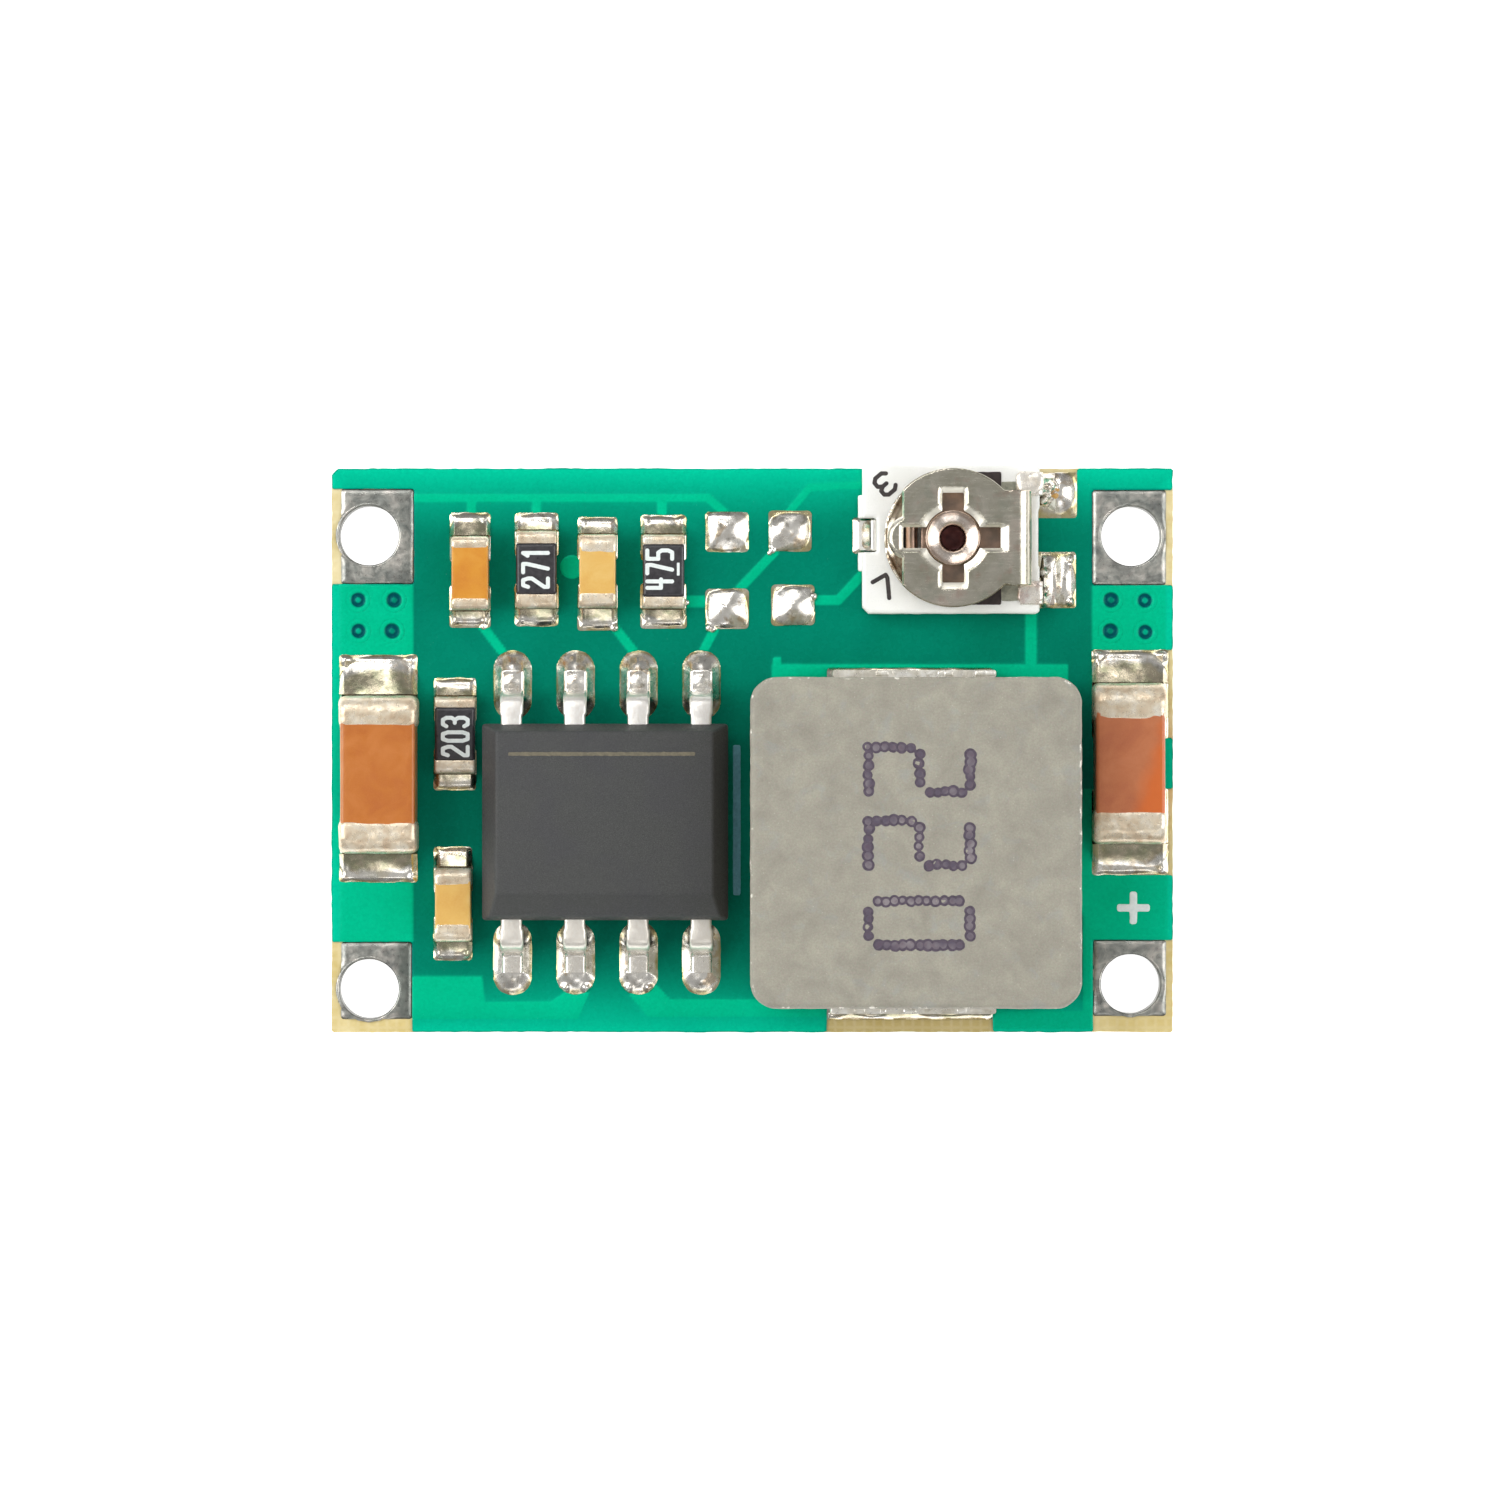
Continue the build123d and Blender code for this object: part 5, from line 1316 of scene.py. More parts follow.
for name, spec, mat, slot, seed in (("input_capacitor", CIN, ORANGE, "ceramic_orange", 201),
                                    ("output_capacitor", COUT, BROWN, "ceramic_brown", 211)):
    cx, cy, w, l, h, t = spec
    shown = l / 2 - t + 0.13
    piece(name + "_ceramic", joined(block(cx - w / 2 + 0.043, cx + w / 2 - 0.043, cy - shown, cy + shown,
                                          Z_TOP + 0.03, Z_TOP + h - 0.055, 0.075, 0.08, 0.004, 2.0, seed),
                                    block(cx - w / 2 + 0.30, cx + w / 2 - 0.30, cy - l / 2 + 0.05, cy + l / 2 - 0.05,
                                          Z_TOP + 0.20, Z_TOP + h - 0.25, 0.05, 0.2)),
          mat, node=name + "_body", angle=60)
    ends(name, cx, cy, w, l, h, t, 0.135, 0.042, 0.014, seed + 3)

for i, (name, (cx, cy, w, l, t, *pad)) in enumerate(CAPS.items()):
    mat, slot = ((AMBER, "ceramic_amber"), (TAN, "ceramic_tan"), (TAN, "ceramic_tan"))[i]
    shown = l / 2 - t + 0.07
    piece(name + "_ceramic", joined(block(cx - w / 2 + 0.022, cx + w / 2 - 0.022, cy - shown, cy + shown,
                                          Z_TOP + 0.02, Z_TOP + 0.772, 0.03, 0.06, 0.003, 3.0, 221 + i),
                                    block(cx - w / 2 + 0.12, cx + w / 2 - 0.12, cy - l / 2 + 0.03, cy + l / 2 - 0.03,
                                          Z_TOP + 0.10, Z_TOP + 0.68, 0.03, 0.2)),
          mat, node=name + "_body", angle=60)
    ends(name, cx, cy, w, l, 0.80, t, 0.075, 0.036, 0.008, 231 + 5 * i)

for i, (name, (cx, cy, w, l, t, *pad)) in enumerate(RESISTORS.items()):
    shown = l / 2 - t + 0.06
    piece(name + "_substrate", joined(block(cx - w / 2 + 0.018, cx + w / 2 - 0.018, cy - shown, cy + shown,
                                            Z_TOP + 0.018, 1.205, 0.015, 0.08, 0.0, 3.0, 241),
                                      block(cx - w / 2 + 0.10, cx + w / 2 - 0.10, cy - l / 2 + 0.02, cy + l / 2 - 0.02,
                                            Z_TOP + 0.06, 1.15, 0.03, 0.2)),
          ALUMINA, node=name + "_base")

    def s_el(x, y):
        return s_box(x, y, cx - w / 2 + 0.012, cx + w / 2 - 0.012, cy - l / 2 + t + LONGER[name][1] - 0.02,
                     cy + l / 2 - t - LONGER[name][0] + 0.02,
                     r=0.04) + 0.008 * fbm(x, y, 0, 7, 251 + i)

    piece(name + "_glaze", relief(cx - 0.5, cx + 0.5, cy - 0.8, cy + 0.8, 0.03, s_el,
                                  lambda x, y, s: 1.249 - 0.04 * (1 - np.clip(-s / 0.06, 0, 1)) ** 2, 1.20),
          GLAZE, node=name + "_element", angle=60)
    ends(name, cx, cy, w, l, 0.435, t, 0.05, 0.036, 0.008, 261 + 5 * i)

# ------------------------------------------------------------------ open trimmer


def s_base(x, y):
    d = s_poly(x, y, [(2.335, 2.740), (5.725, 2.740), (5.785, 2.80), (5.785, 5.69), (5.725, 5.75), (2.265, 5.75),
                      (2.205, 5.69), (2.205, 2.87)])
    d = d + 0.010 + 0.010 * fbm(x, y, 0, 3.0, 301)
    d = np.maximum(d, -s_box(x, y, 5.75, 6.0, 3.68, 4.85))
    d = np.maximum(d, -s_box(x, y, 1.9, 2.495, 3.985, 4.675))
    return np.maximum(d, -s_circle(x, y, TX, TY, 0.325))


base = relief(2.1, 5.9, 2.6, 5.9, 0.04, s_base,
              lambda x, y, s: 1.449 - 0.04 * (1 - np.clip(-s / 0.05, 0, 1)) ** 2 + 0.002 * fbm(x, y, 0, 3, 303), 0.862)
shoulder = relief(2.05, 2.35, 3.5, 5.3, 0.02,
                  lambda x, y: np.maximum(s_box(x, y, 2.132, 2.30, 3.606, 5.136, r=0.04) + 0.006 * fbm(x, y, 0, 6, 305),
                                          -s_box(x, y, 2.0, 2.495, 3.985, 4.675)),
                  lambda x, y, s: 1.118 - 0.03 * (1 - np.clip(-s / 0.04, 0, 1)) ** 2, 0.862)
piece("trimmer_plate", joined(base, shoulder), WHITE, node="trimmer_base", angle=50)


def s_track(x, y):
    r = np.hypot(x - TX, y - TY)
    d = np.maximum(r - 1.36, 0.86 - r)
    d = np.maximum(d, x - TX - 0.55)
    d = np.minimum(d, s_box(x, y, TX + 0.30, TX + 0.98, TY + 0.80, TY + 1.335))
    d = np.minimum(d, s_box(x, y, TX + 0.30, TX + 0.98, TY - 1.335, TY - 0.80))
    return d + 0.008 * fbm(x, y, 0, 8, 307)


piece("trimmer_film", relief(2.5, 5.2, 2.7, 5.8, 0.04, s_track, lambda x, y, s: 1.4695 + 0 * x, 1.4485), TRACK,
      node="trimmer_track")


def s_silver(x, y):
    d = np.minimum(s_box(x, y, TX + 0.98, 5.36, 5.04, 5.40, r=0.03), s_box(x, y, TX + 0.98, 5.36, 3.00, 3.38, r=0.03))
    return d + 0.014 * fbm(x, y, 0, 6, 309)


piece("trimmer_contacts", relief(4.9, 5.5, 2.8, 5.6, 0.02, s_silver,
                                 lambda x, y, s: 1.466 + 0.010 * fbm(x, y, 0, 7, 311) * np.clip(-s / 0.05, 0, 1), 1.4485),
      SILVER, node="trimmer_electrodes")

clips = []
rng1 = random.Random(8)
for k, (y0, y1) in enumerate(((5.12, 5.60), (2.93, 3.40))):
    yc = (y0 + y1) / 2
    pts = [(5.38, 1.482), (5.815, 1.482), (5.815, 0.835), (6.10, 0.835)]
    path = turned(pts, 0.055, 6)
    run = np.concatenate([[0], np.cumsum(np.linalg.norm(np.diff(path, axis=0), axis=1))])
    extra = np.linspace(0, run[-1], 50)
    path = np.stack([np.interp(extra, run, path[:, 0]), np.interp(extra, run, path[:, 1])], 1)
    clips.append(strip(path, [0.47] * 50, 0.064, yc, soft=0.028, lump=0.0, seed=11, swap=True))
    clips.append(relief(5.2, 5.95, y0 - 0.1, y1 + 0.1, 0.022,
                        lambda x, y: s_box(x, y, 5.30 + 0.05 * k, 5.842, y0 + 0.008, y1 - 0.008, r=0.15) + 0.04 * fbm(x, y, 0, 2.6, 322 + k, 2),
                        lambda x, y, s: np.minimum(1.478 + 0.052 * np.sqrt(np.clip(1 - (1 - np.clip(-s / 0.16, 0, 1)) ** 2, 0, 1))
                                                   + 0.030 * bumps(x, y, 0, 2.9, 326 + k), 1.553), 1.45))
piece("trimmer_side_clips", joined(*clips), CLIP, node="trimmer_end_terminals", angle=50)

# wiper terminal: strip under the plate, turned-up tab and flared eyelet
tab = block(2.388, 2.492, 4.018, 4.642, 0.802, 1.335, 0.035, 0.06, 0.004, 5, 331)
under = relief(2.1, 4.8, 3.5, 5.0, 0.04,
               lambda x, y: np.maximum(np.minimum(s_box(x, y, 2.150, TX, 4.035, 4.625, r=0.05), s_circle(x, y, TX, TY, 0.62)),
                                       -s_circle(x, y, TX, TY, 0.25)),
               lambda x, y, s: 0.909 + 0 * x, 0.802)
# the eyelet's floor, painted dark as the shade at the bottom of the bore
cup = relief(TX - 0.3, TX + 0.3, TY - 0.3, TY + 0.3, 0.02, lambda x, y: s_circle(x, y, TX, TY, 0.25),
             lambda x, y, s: 0.852 + 0.03 * step(0.10, 0.25, np.hypot(x - TX, y - TY)) + 0.004 * fbm(x, y, 0, 9, 335), 0.803)
piece("trimmer_cup_floor", cup, CUP_SHADE)
eyelet = lathe([(0.235, 0.81), (0.235, 1.70), (0.243, 1.75), (0.262, 1.79), (0.300, 1.825), (0.350, 1.853),
                (0.410, 1.882), (0.465, 1.908), (0.505, 1.925), (0.528, 1.933), (0.545, 1.928), (0.554, 1.912),
                (0.553, 1.897), (0.540, 1.876), (0.505, 1.842), (0.455, 1.806), (0.400, 1.770), (0.350, 1.735),
                (0.325, 1.700), (0.319, 1.66), (0.319, 0.81)], TX, TY, 96)
ev, ef = eyelet
turn = np.arctan2(ev[:, 1] - TY, ev[:, 0] - TX)
reach = np.hypot(ev[:, 0] - TX, ev[:, 1] - TY)
ev[:, 2] += 0.012 * bumps(np.cos(turn) + 4, np.sin(turn), 0, 1.8, 333) * step(0.3, 0.55, reach) - 0.004
piece("trimmer_eyelet", (ev, ef), EYELET, node="trimmer_wiper_terminal", angle=45)
piece("trimmer_tab", joined(tab, under), LEAD, angle=45)


def s_slot(x, y):
    d = s_circle(x, y, TX, TY, 0.575)
    d = np.minimum(d, s_box(x, y, TX - 0.22, TX + 0.22, TY - 0.90, TY + 0.90, r=0.03))
    return np.minimum(d, s_box(x, y, TX - 1.00, TX + 0.957, TY - 0.21, TY + 0.21, r=0.03))


def s_slot_brim(x, y):
    # the bevel's upper outline: wide at the ends of the arms and round the hole
    d = s_circle(x, y, TX, TY, 0.755)
    d = np.minimum(d, s_box(x, y, TX - 0.305, TX + 0.305, TY - 1.055, TY + 1.055, r=0.07))
    d = np.minimum(d, s_box(x, y, TX - 1.085, TX + 1.135, TY - 0.30, TY + 0.30, r=0.07))
    return d


def s_disc(x, y):
    d = s_circle(x, y, TX, TY, 1.395)
    d = np.minimum(d, s_box(x, y, TX, TX + 1.285, TY - 0.95, TY + 0.95))
    d = np.maximum(d, TX - 1.02 - x)
    q = np.hypot((x - TX + 0.90) / 0.415, (y - TY) / 0.44)
    return np.minimum(d, (q - 1) * 0.42)


def s_driver(x, y):
    return np.maximum(s_disc(x, y), -s_slot(x, y))


def driver_top(x, y, s):
    fold = step(1.10, 1.22, x - TX) * step(0.99, 0.95, np.abs(y - TY))
    left = step(-0.95, -1.05, x - TX)
    edge = np.clip(-s_disc(x, y) / (0.035 + 0.075 * left), 0, 1)
    z = 2.149 - (0.028 + 0.040 * left) * (1 - edge) ** 2 * (1 - fold)
    s_in, s_out = np.maximum(s_slot(x, y), 0), np.minimum(s_slot_brim(x, y), 0)
    t = np.clip(s_in / np.maximum(s_in - s_out, 1e-6), 0, 1)
    t = np.where(s_out >= 0, 1.0, t)
    z = z - 0.070 * (1 - t) ** 1.25
    z = z + 0.0022 * fbm(x, y, 0, 1.6, 341) * t
    return np.minimum(z - 0.004 * step(1.0, 1.3, np.hypot(x - TX, y - TY)) * (1 - fold), 2.1495)


driver = relief(TX - 1.5, TX + 1.285 + 0.0201, TY - 1.5, TY + 1.5, 0.02, s_driver, driver_top, 2.041)


def s_leaf(x, y):
    d = s_circle(x, y, TX, TY, 1.375)
    d = np.minimum(d, s_box(x, y, TX, TX + 1.285, TY - 0.95, TY + 0.95))
    d = np.maximum(d, -s_circle(x, y, TX, TY, 0.35))
    d = np.maximum(d, -s_box(x, y, TX - 1.00, TX - 0.95, TY - 0.50, TY + 0.50, r=0.02))
    return np.maximum(d, -s_box(x, y, TX - 0.70, TX - 0.64, TY - 0.50, TY + 0.50, r=0.02))


def leaf_top(x, y, s):
    # the finger is arched, and the leaf's outer rim on the left turns up
    u = (x - TX + 0.825) / 0.125
    finger = np.clip(1 - u * u, 0, 1) * step(0.55, 0.45, np.abs(y - TY))
    rim = step(1.16, 1.36, np.hypot(x - TX, y - TY)) * step(-0.7, -1.0, x - TX)
    e = np.clip(-s / 0.03, 0, 1)
    z = 1.650 + 0.10 * finger + 0.075 * rim + 0.012 * fbm(x, y, 0, 4.5, 345) * rim
    return z - 0.02 * (1 - e) ** 2


leaf = relief(TX - 1.5, TX + 1.285 + 0.03, TY - 1.5, TY + 1.5, 0.03, s_leaf, leaf_top, 1.561)

n_arc = 28
fold_v, fold_f = [], []
ys = [-0.95, -0.935, -0.6, -0.2, 0.2, 0.6, 0.935, 0.95]
for yk, y in enumerate(ys):
    shrink = 0.012 if yk in (0, len(ys) - 1) else 0.0
    for k in range(n_arc + 1):
        a = -math.pi / 2 + math.pi * k / n_arc
        for r in (0.2945 - shrink, 0.1855 + shrink):
            fold_v.append((TX + 1.285 + r * math.cos(a), TY + y, 1.855 + r * math.sin(a)))
row = 2 * (n_arc + 1)
for yk in range(len(ys) - 1):
    for k in range(n_arc):
        a, b = yk * row + 2 * k, (yk + 1) * row + 2 * k
        fold_f.append([a, a + 2, b + 2, b])
        fold_f.append([a + 1, b + 1, b + 3, a + 3])
    for k in (0, n_arc):
        a, b = yk * row + 2 * k, (yk + 1) * row + 2 * k
        fold_f.append([a, b, b + 1, a + 1])
for yk in (0, len(ys) - 1):
    for k in range(n_arc):
        a = yk * row + 2 * k
        fold_f.append([a, a + 1, a + 3, a + 2])
pips = []
for px in (TX - 1.16, TX - 0.87):
    arc = [(0.0005, 1.506)] + [(0.075 * math.sin(math.radians(a)), 1.58 - 0.075 * math.cos(math.radians(a)))
                               for a in (20, 40, 60, 80)] + [(0.075, 1.60), (0.0005, 1.60)]
    pips.append(lathe(arc, px, TY, 24))
piece("trimmer_driver", joined(driver, leaf, (np.array(fold_v), fold_f), *pips), ROTOR, body="trimmer_rotor",
      node="trimmer_rotor", angle=30)

printed("trimmer_digit_a", glyph_lines("3", 2.669, 5.352, 0.42, 0.30, -140), 0.085, 1.4485, 0.006, INK_BLACK)
printed("trimmer_digit_b", glyph_lines("7", 2.660, 3.262, 0.44, 0.30, 30), 0.085, 1.4485, 0.006, INK_BLACK)


# ------------------------------------------------------------------ solder
def rim_bead(x, y, pad, bead, soft=0.05):
    d = np.maximum(-s_box(x, y, *pad, r=soft), 0)
    e = np.clip(d / 0.12, 0, 1)
    return e, 0.018 * e + bead * np.exp(-((d - 0.09) / 0.05) ** 2)


def wet(x, y, pad, part, rise, seed, bead=0.018, power=1.12, lump=0.003, corner=0.03, side_rise=0.22):
    """Height of a joint at a part's end: round contours that climb to the end, a bead along the pad's rim."""
    px0, px1, py0, py1 = pad
    up = 1 if abs(py1 - part[3]) < abs(py0 - part[2]) else -1
    face = part[3] if up > 0 else part[2]
    far = py1 if up > 0 else py0
    run = abs(far - face)
    rise = rise * run
    t = up * (y - face)
    cx, half = (part[0] + part[1]) / 2, (part[1] - part[0]) / 2
    wob = 1 + 0.16 * bumps(x, y, 0, 1.9, seed + 9)
    u = np.clip(np.abs(x - cx) / (half * 1.13), 0, 1)
    reach = run * 1.02 * np.maximum(1 - u ** 2.4, 0.0) ** (1 / 2.4)
    q = np.clip(t, 0, None) / np.maximum(reach, 0.04) * wob
    h = rise * np.clip(1 - u ** 5, 0, 1) ** 0.6 * np.clip(1 - q, 0, 1) ** power
    gap = np.maximum(np.abs(x - cx) - half, 0)
    wall = rise * side_rise * np.clip(1 - gap / 0.07, 0, 1) ** 1.5
    h = np.where(t > 0.0, np.maximum(h, 0), wall)
    e, rim = rim_bead(x, y, pad, bead)
    lumps = np.zeros_like(x)
    wide = 0.065 + 0.03 * (half > 0.6)
    for ox, oy in ((px0 + 0.10, far - up * 0.10), (px1 - 0.10, far - up * 0.10)):
        lumps = lumps + corner * (1 + 0.5 * math.sin(seed * 3.7 + ox * 9)) * np.exp(-(np.hypot(x - ox, y - oy) / wide) ** 2)
    h = h + rim + lumps * step(-0.02, 0.05, t) + lump * fbm(x, y, 0, 2.8, seed, 2) * e
    under = step(-0.015, -0.045, s_box(x, y, *part))
    return Z_TOP - 0.018 + np.maximum(h, 0.0) * (1 - under)


def s_tail(x, y, spots):
    out = np.full(np.shape(x), 9.0)
    for sx, sy, r in spots:
        out = np.minimum(out, s_circle(x, y, sx, sy, r))
    return out


def joint(pad, part, rise, seed, cell=0.027, tails=(), **more):
    def sdf(x, y):
        d = s_box(x, y, *pad, r=0.05) - 0.012 + 0.006 * fbm(x, y, 0, 4, seed + 50, 2)
        return np.minimum(d, s_tail(x, y, tails)) if tails else d

    def top(x, y, s):
        z = wet(x, y, pad, part, rise, seed, **more)
        for sx, sy, r in tails:
            z = np.maximum(z, Z_TOP + 0.02 + 0.9 * r * np.sqrt(np.clip(1 - (np.hypot(x - sx, y - sy) / (r * 1.05)) ** 2, 0, 1)) - 0.02)
        return z

    return relief(pad[0] - 0.15, pad[1] + 0.15, pad[2] - 0.15, pad[3] + 0.15, cell, sdf, top, Z_CU - 0.001)


parts = []
TAILS = {"chip_capacitor_2": {-1: ((-2.78, 2.47, 0.085),)}, "chip_resistor_2": {-1: ((-1.325, 2.98, 0.06),)},
         "chip_capacitor_1": {-1: ((-5.42, 2.49, 0.06),)}}
for k, (name, (cx, cy, w, l, t, x0, x1, y0, y1)) in enumerate(list(CAPS.items()) + list(RESISTORS.items())):
    rise = 0.49 if name in CAPS else 0.45
    body_box = (cx - w / 2, cx + w / 2, cy - l / 2, cy + l / 2)
    for side in (1, -1):
        ya, yb = (cy + l / 2 - 0.50, y1) if side > 0 else (y0, cy - l / 2 + 0.50)
        parts.append(joint((x0, x1, ya, yb), body_box, rise * (1 + 0.12 * math.sin(5 * k + side)), 400 + 3 * k + side,
                           corner=0.030, bead=0.014, tails=TAILS.get(name, {}).get(side, ())))
piece("chip_joints", joined(*parts), SOLDER, node="solder_chip_parts", angle=60)

for name, (cx, cy, w, l, h, t), pads, seed in (
        ("input", CIN, ((-8.318, -6.765, 0.380, 1.922), (-8.318, -6.765, -2.658, -1.360)), 431),
        ("output", COUT, ((6.865, 8.385, 0.250, 2.023), (6.865, 8.385, -2.517, -0.780)), 437)):
    body_box = (cx - w / 2, cx + w / 2, cy - l / 2, cy + l / 2)
    parts = [joint(pad, body_box, 0.47 if pad[3] > 0 else 0.50, seed + i, cell=0.031, bead=0.024, power=1.2,
                   lump=0.010, corner=0.05) for i, pad in enumerate(pads)]
    piece(name + "_capacitor_joints", joined(*parts), SOLDER_BIG, node="solder_" + name + "_capacitor",
          angle=60)

parts = []
for k, px in enumerate(LEAD_XS):
    for side, (y0, y1) in ((1, UP_PAD), (-1, LO_PAD)):
        toe = REG_Y + side * 3.04
        heel = REG_Y + side * 2.50
        foot = (px - 0.21, px + 0.21, min(toe, heel), max(toe, heel))
        seed = 451 + 3 * k + side
        out_y = y1 if side > 0 else y0
        drops = 0.065 if side < 0 and k in (1, 2) else 0.010

        def s_slotpad(x, y):
            return s_line(x, y, [(px, y0 + 0.38), (px, y1 - 0.38)], 0.785) + 0.008 * fbm(x, y, 0, 4, seed, 2)

        def lead_top(x, y, s):
            d = np.clip(-s, 0, None)
            gap = np.maximum(s_box(x, y, *foot, r=0.03), 0)
            t = d / np.maximum(d + gap, 1e-6)
            ahead = side * (y - toe)
            rise = 0.243 * (1 + 0.03 * bumps(x, y, 0, 1.6, seed + 2)) if side > 0 else 0.165 * (
                1 + 0.10 * bumps(x, y, 0, 1.6, seed + 2))
            low = 0.95 if side > 0 else 0.72
            rise = rise * (low + (1 - low) * step(-0.10, 0.10, ahead)) * (1 - 0.6 * step(-0.60, -0.95, ahead))
            swell = 0.035 * np.exp(-((ahead - 0.17) / 0.13) ** 2) * np.exp(-((x - px) / 0.17) ** 2)
            if side > 0:
                swell = swell + 0.045 * np.exp(-((ahead + 0.20) / 0.13) ** 2) * np.exp(-((x - px) / 0.15) ** 2)
            h = rise * t ** 1.35 + swell * np.clip(d / 0.15, 0, 1)
            for ox in (px - 0.21, px + 0.21):
                h = h + drops * np.exp(-(np.hypot(x - ox, ahead - abs(out_y - toe) + 0.13) / 0.07) ** 2)
            h = h + (0.012 * np.clip(d / 0.05, 0, 1) + 0.004 * fbm(x, y, 0, 3.2, seed + 5, 2) * np.clip(d / 0.1, 0, 1))
            under = step(-0.012, -0.04, s_box(x, y, *foot)) * (side < 0)
            return Z_TOP - 0.018 + np.maximum(h, 0) * (1 - under)

        parts.append(relief(px - 0.45, px + 0.45, y0 - 0.06, y1 + 0.06, 0.026, s_slotpad, lead_top, Z_CU - 0.001))
piece("regulator_joints", joined(*parts), SOLDER_LOW, node="solder_regulator", angle=60)

parts = []
SPARE_TAILS = {1: ((0.405, 4.035, 0.075), (0.345, 3.975, 0.05)), 2: ((-0.87, 2.47, 0.08), (-0.80, 2.44, 0.07)),
               3: ((1.235, 3.10, 0.085),)}
for k, (x, y) in enumerate(SPARE):
    tails = SPARE_TAILS.get(k, ())

    def s_spare(u, v):
        d = s_box(u, v, x - 0.44, x + 0.44, y - 0.41, y + 0.41, r=0.09) + 0.016 * fbm(u, v, 0, 3.2, 471 + k)
        return np.minimum(d, s_tail(u, v, tails)) if tails else d

    def pillow(u, v, s):
        a, b = np.abs(u - x - 0.03 * math.sin(k * 5)) / 0.45, np.abs(v - y - 0.03 * math.cos(k * 3)) / 0.42
        q = (a ** 2.7 + b ** 2.7) ** (1 / 2.7) * (1 + 0.13 * bumps(u, v, 0, 2.3, 475 + k))
        e = np.clip(-s / 0.08, 0, 1)
        z = Z_TOP - 0.018 + 0.155 * np.clip(1 - q ** 1.5, 0, 1) + 0.028 * e + 0.026 * bumps(u, v, 0, 3.6, 479 + k) * e
        for sx, sy, r in tails:
            z = np.maximum(z, Z_TOP + r * np.sqrt(np.clip(1 - (np.hypot(u - sx, v - sy) / (r * 1.05)) ** 2, 0, 1)))
        return np.minimum(z, 1.06)

    parts.append(relief(x - 0.55, x + 0.55, y - 0.55, y + 0.55, 0.025, s_spare, pillow, Z_CU - 0.001))
piece("spare_pad_domes", joined(*parts), SOLDER_LOW, node="solder_spare_pads", angle=60)


def along_clip(pad, face, side, seed):
    def sdf(x, y):
        return s_box(x, y, *pad, r=0.05) + 0.010 * fbm(x, y, 0, 4, seed)

    def top(x, y, s):
        t = np.clip(side * (y - face), 0, None)
        h = 0.16 * np.clip(1 - t / 0.2, 0, 1) ** 1.5 * (1 + 0.5 * bumps(x, y, 0, 2.5, seed + 3))
        e = np.clip(-s / 0.05, 0, 1)
        return Z_TOP - 0.018 + h + 0.03 * e + 0.010 * fbm(x, y, 0, 6, seed + 5) * e

    return relief(pad[0] - 0.05, pad[1] + 0.05, pad[2] - 0.05, pad[3] + 0.05, 0.025, sdf, top, Z_CU - 0.001)


parts = [along_clip((1.520, 4.845, 1.615, 1.665), IND_Y + HALF + 0.15, 1, 481),
         along_clip((1.520, 4.845, -5.43, -5.29), IND_Y - HALF - 0.15, -1, 483)]
piece("inductor_joints", joined(*parts), SOLDER, node="solder_inductor", angle=60)


def blob(x, y, cx, cy, rx, ry, h, power=0.6):
    return h * np.clip(1 - ((x - cx) / rx) ** 2 - ((y - cy) / ry) ** 2, 0, 1) ** power


def s_clip_joint(pad, seed):
    return lambda x, y: s_box(x, y, *pad, r=0.06) + 0.010 * fbm(x, y, 0, 4, seed)


def upper_joint(x, y, s):
    e = np.clip(-s / 0.10, 0, 1)
    h = 0.020 * e + blob(x, y, 6.20, 5.22, 0.34, 0.46, 0.17, 1.3)
    h = np.maximum(h, 0.52 * np.clip(1 - (x - 5.855) / 0.34, 0, 1) ** 1.2 * step(5.64, 5.48, y) * step(5.02, 5.22, y) * (x > 5.85))
    h = np.maximum(h, blob(x, y, 5.90, 5.03, 0.12, 0.12, 0.40, 0.6))
    h = np.maximum(h, blob(x, y, 5.97, 5.12, 0.10, 0.10, 0.36, 0.6))
    h = np.maximum(h, blob(x, y, 6.03, 5.31, 0.13, 0.14, 0.46, 0.6))
    return Z_TOP - 0.018 + h + 0.004 * fbm(x, y, 0, 2.4, 492, 2) * e


def lower_joint(x, y, s):
    e = np.clip(-s / 0.10, 0, 1)
    t = np.clip((x - 5.855) / 0.30, 0, 1)
    width = np.clip(1 - (np.abs(y - 3.38) / 0.56) ** 3, 0, 1)
    h = 0.020 * e + 0.30 * (1 - t) ** 1.4 * width * step(0.0, 0.04, x - 5.84)
    h = h + blob(x, y, 6.29, 3.42, 0.25, 0.54, 0.13, 1.2)
    h = np.maximum(h, blob(x, y, 5.90, 3.575, 0.115, 0.115, 0.44, 0.6))
    h = np.maximum(h, blob(x, y, 5.91, 3.20, 0.10, 0.11, 0.42, 0.6))
    h = h + blob(x, y, 6.41, 3.86, 0.09, 0.10, 0.07, 1.2) + blob(x, y, 6.42, 2.99, 0.09, 0.10, 0.07, 1.2)
    return Z_TOP - 0.018 + h + 0.004 * fbm(x, y, 0, 2.4, 494, 2) * e


def notch_joint(x, y, s):
    e = np.clip(-s / 0.05, 0, 1)
    t = np.clip((2.384 - x) / 0.34, 0, 1)
    h = 0.30 * (1 - t) ** 1.5 * step(-0.01, 0.02, 2.384 - x) * np.clip(1 - (np.abs(y - 4.33) / 0.34) ** 4, 0, 1)
    return Z_TOP - 0.018 + h + 0.03 * e + 0.005 * fbm(x, y, 0, 3, 496, 2) * e


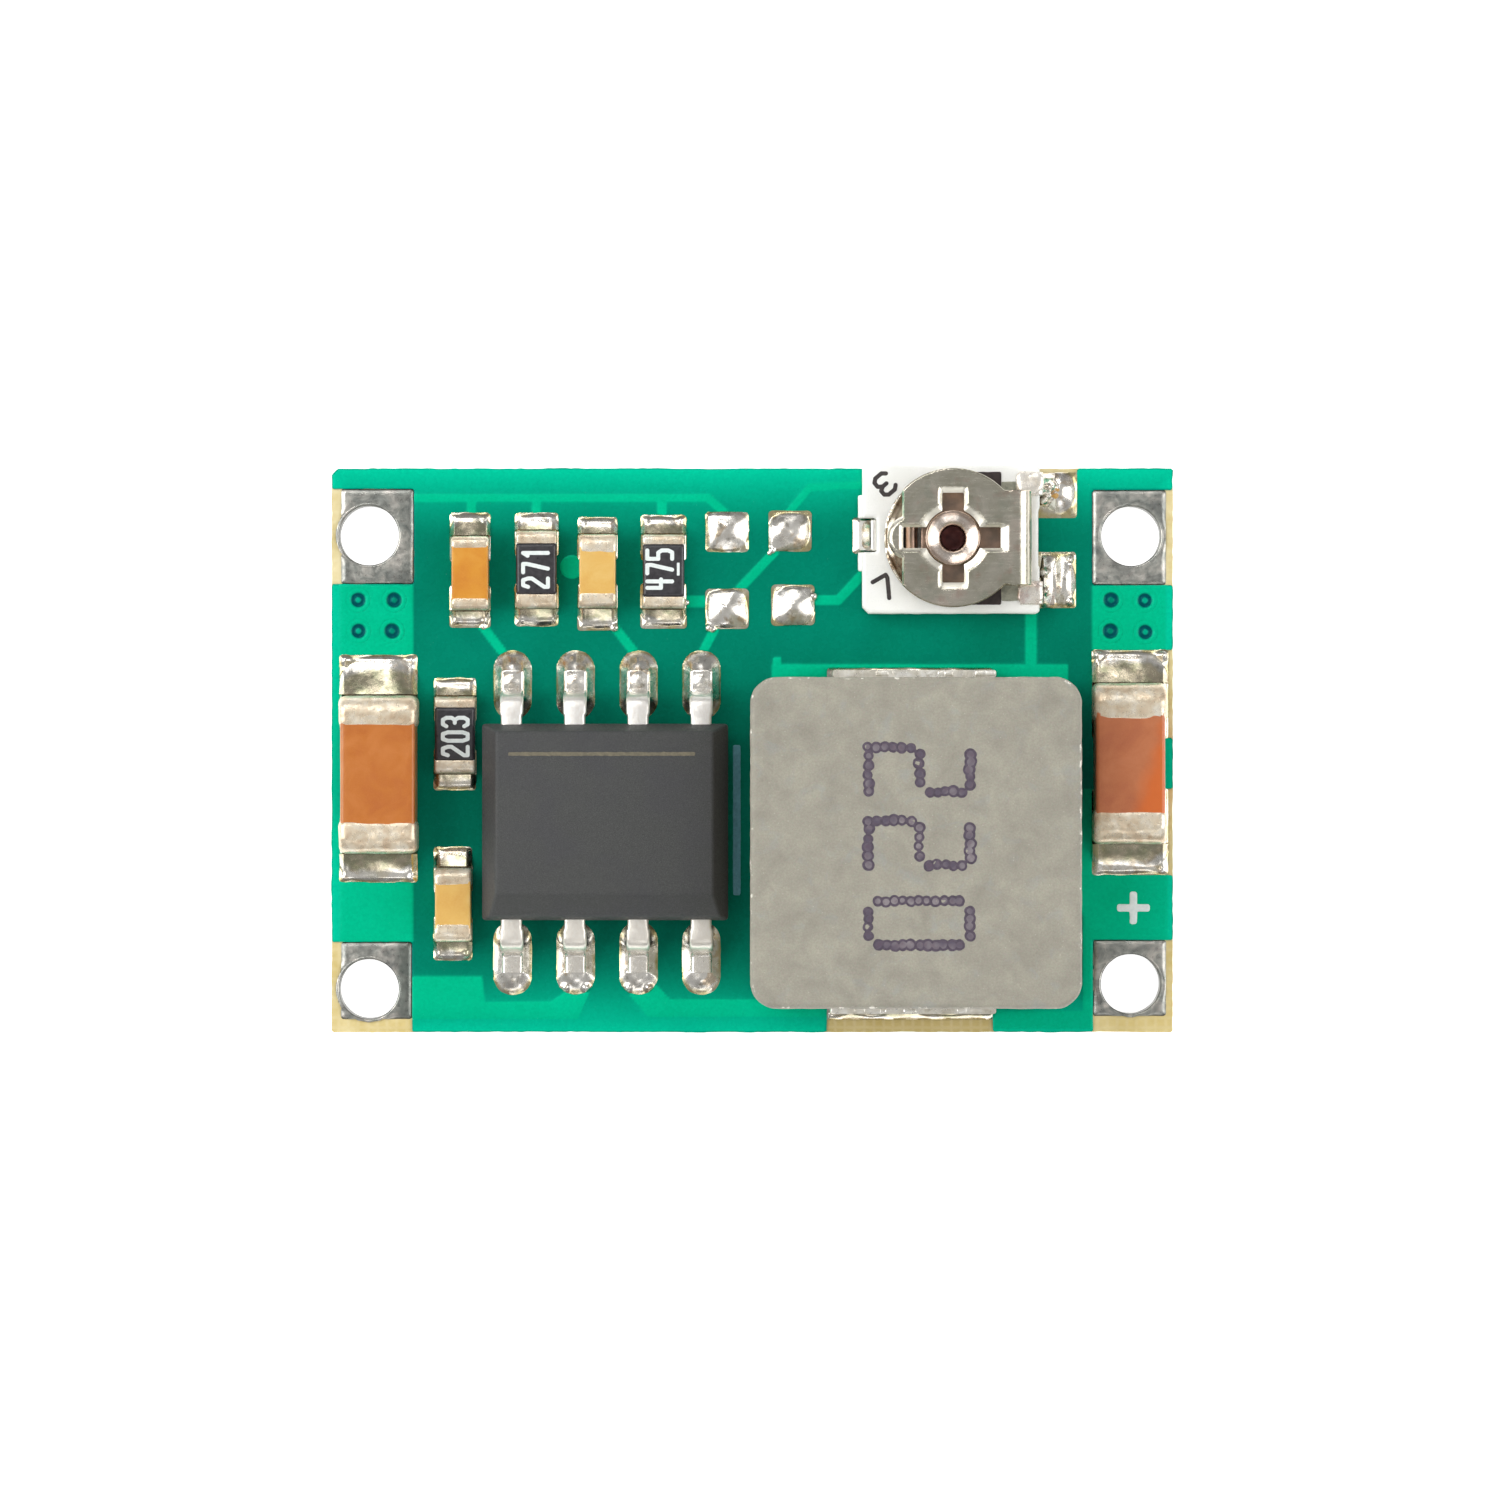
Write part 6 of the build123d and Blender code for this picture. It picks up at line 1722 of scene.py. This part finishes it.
parts = [relief(5.2, 6.7, 4.6, 5.7, 0.026, s_clip_joint((5.300, 6.553, 4.686, 5.610), 491), upper_joint, Z_CU - 0.001),
         relief(5.2, 6.7, 2.8, 4.1, 0.026, s_clip_joint((5.300, 6.532, 2.870, 4.000), 493), lower_joint, Z_CU - 0.001),
         relief(1.9, 2.8, 3.9, 4.8, 0.022, s_clip_joint((2.020, 2.700, 3.965, 4.695), 495), notch_joint, Z_CU - 0.001)]
piece("trimmer_joints", joined(*parts), SOLDER_LOW, node="solder_trimmer", angle=60)


# dried flux beside the drops of the upper joint
def s_patch(x, y):
    d = np.minimum(s_circle(x, y, 6.12, 5.14, 0.07), s_circle(x, y, 6.15, 5.25, 0.06))
    return d + 0.05 * fbm(x, y, 0, 5, 503)


def patch_top(x, y, s):
    return upper_joint(x, y, -0.08 + 0 * x) + 0.002 + 0.006 * np.clip(-s / 0.03, 0, 1)


piece("flux_traces", relief(5.85, 6.35, 4.9, 5.45, 0.016, s_patch, patch_top, 0.81), FLUX, angle=60)

# ------------------------------------------------------------------ floor, sky and lamps
floor_mat = Mat("pale_floor", specular=0.2)
floor_mat.color(floor_mat.ramp(floor_mat.noise(0.02, 2), (0.3, (0.80, 0.80, 0.80, 1)), (0.7, (0.83, 0.83, 0.83, 1))))
floor_mat.rough(floor_mat.span(floor_mat.noise(0.5, 2), 0.3, 0.7, 0.75, 0.85))
floor_mat.b.inputs["Emission Color"].default_value = (1, 1, 1, 1)
floor_mat.b.inputs["Emission Strength"].default_value = 0.85
me = bpy.data.meshes.new("floor")
n = 24
me.from_pydata([(-0.5 + i / n, -0.5 + j / n, -0.00002) for j in range(n + 1) for i in range(n + 1)], [],
               [(j * (n + 1) + i, j * (n + 1) + i + 1, (j + 1) * (n + 1) + i + 1, (j + 1) * (n + 1) + i)
                for j in range(n) for i in range(n)])
floor = bpy.data.objects.new("floor", me)
me.materials.append(floor_mat.m)
scene.collection.objects.link(floor)

world = bpy.data.worlds.new("studio")
scene.world = world
world.use_nodes = True
nt = world.node_tree
nt.nodes.clear()
out = nt.nodes.new("ShaderNodeOutputWorld")
bg = nt.nodes.new("ShaderNodeBackground")
coord = nt.nodes.new("ShaderNodeTexCoord")
split = nt.nodes.new("ShaderNodeSeparateXYZ")
ramp = nt.nodes.new("ShaderNodeValToRGB")
nt.links.new(coord.outputs["Generated"], split.inputs[0])
nt.links.new(split.outputs["Z"], ramp.inputs[0])
stops = ((0.0, 0.38), (0.25, 0.38), (0.60, 0.46), (0.88, 0.52), (0.96, 0.46), (0.99, 0.43))
e = ramp.color_ramp.elements
while len(e) < len(stops):
    e.new(0.5)
for i, (pos, v) in enumerate(stops):
    e[i].position = pos
    e[i].color = (v, v, v * 0.99, 1)
side = nt.nodes.new("ShaderNodeMath")
side.operation = "ABSOLUTE"
nt.links.new(split.outputs["Y"], side.inputs[0])
dim = nt.nodes.new("ShaderNodeMapRange")
dim.inputs["From Min"].default_value = 0.25
dim.inputs["From Max"].default_value = 0.85
dim.inputs["To Min"].default_value = 1.0
dim.inputs["To Max"].default_value = 0.60
nt.links.new(side.outputs[0], dim.inputs["Value"])
nt.links.new(ramp.outputs[0], bg.inputs[0])
nt.links.new(dim.outputs["Result"], bg.inputs[1])
plain = nt.nodes.new("ShaderNodeBackground")
plain.inputs[0].default_value = (0.93, 0.93, 0.93, 1)
path = nt.nodes.new("ShaderNodeLightPath")
both = nt.nodes.new("ShaderNodeMixShader")
nt.links.new(path.outputs["Is Camera Ray"], both.inputs[0])
nt.links.new(bg.outputs[0], both.inputs[1])
nt.links.new(plain.outputs[0], both.inputs[2])
nt.links.new(both.outputs[0], out.inputs[0])


def lamp(name, place, size, radiance, tint=(1, 1, 1)):
    """A soft square lamp that faces the board. radiance 1 is the floor's white."""
    data = bpy.data.lights.new(name, "AREA")
    data.shape = "RECTANGLE"
    data.size, data.size_y = size
    data.energy = radiance * math.pi * size[0] * size[1]
    data.color = tint
    ob = bpy.data.objects.new(name, data)
    ob.location = place
    ob.rotation_euler = (Vector(place)).to_track_quat("Z", "Y").to_euler()
    ob.visible_camera = False
    scene.collection.objects.link(ob)


lamp("left_box", (-0.17, 0.025, 0.15), (0.17, 0.21), 3.05)
lamp("right_box", (0.18, 0.00, 0.14), (0.14, 0.19), 2.5)
lamp("upper_box", (-0.045, 0.165, 0.17), (0.13, 0.06), 2.8)
lamp("lower_box", (0.03, -0.165, 0.16), (0.12, 0.05), 1.5)
lamp("key_lamp", (-0.085, 0.105, 0.24), (0.026, 0.026), 17)
lamp("second_lamp", (-0.02, 0.12, 0.25), (0.018, 0.018), 14)
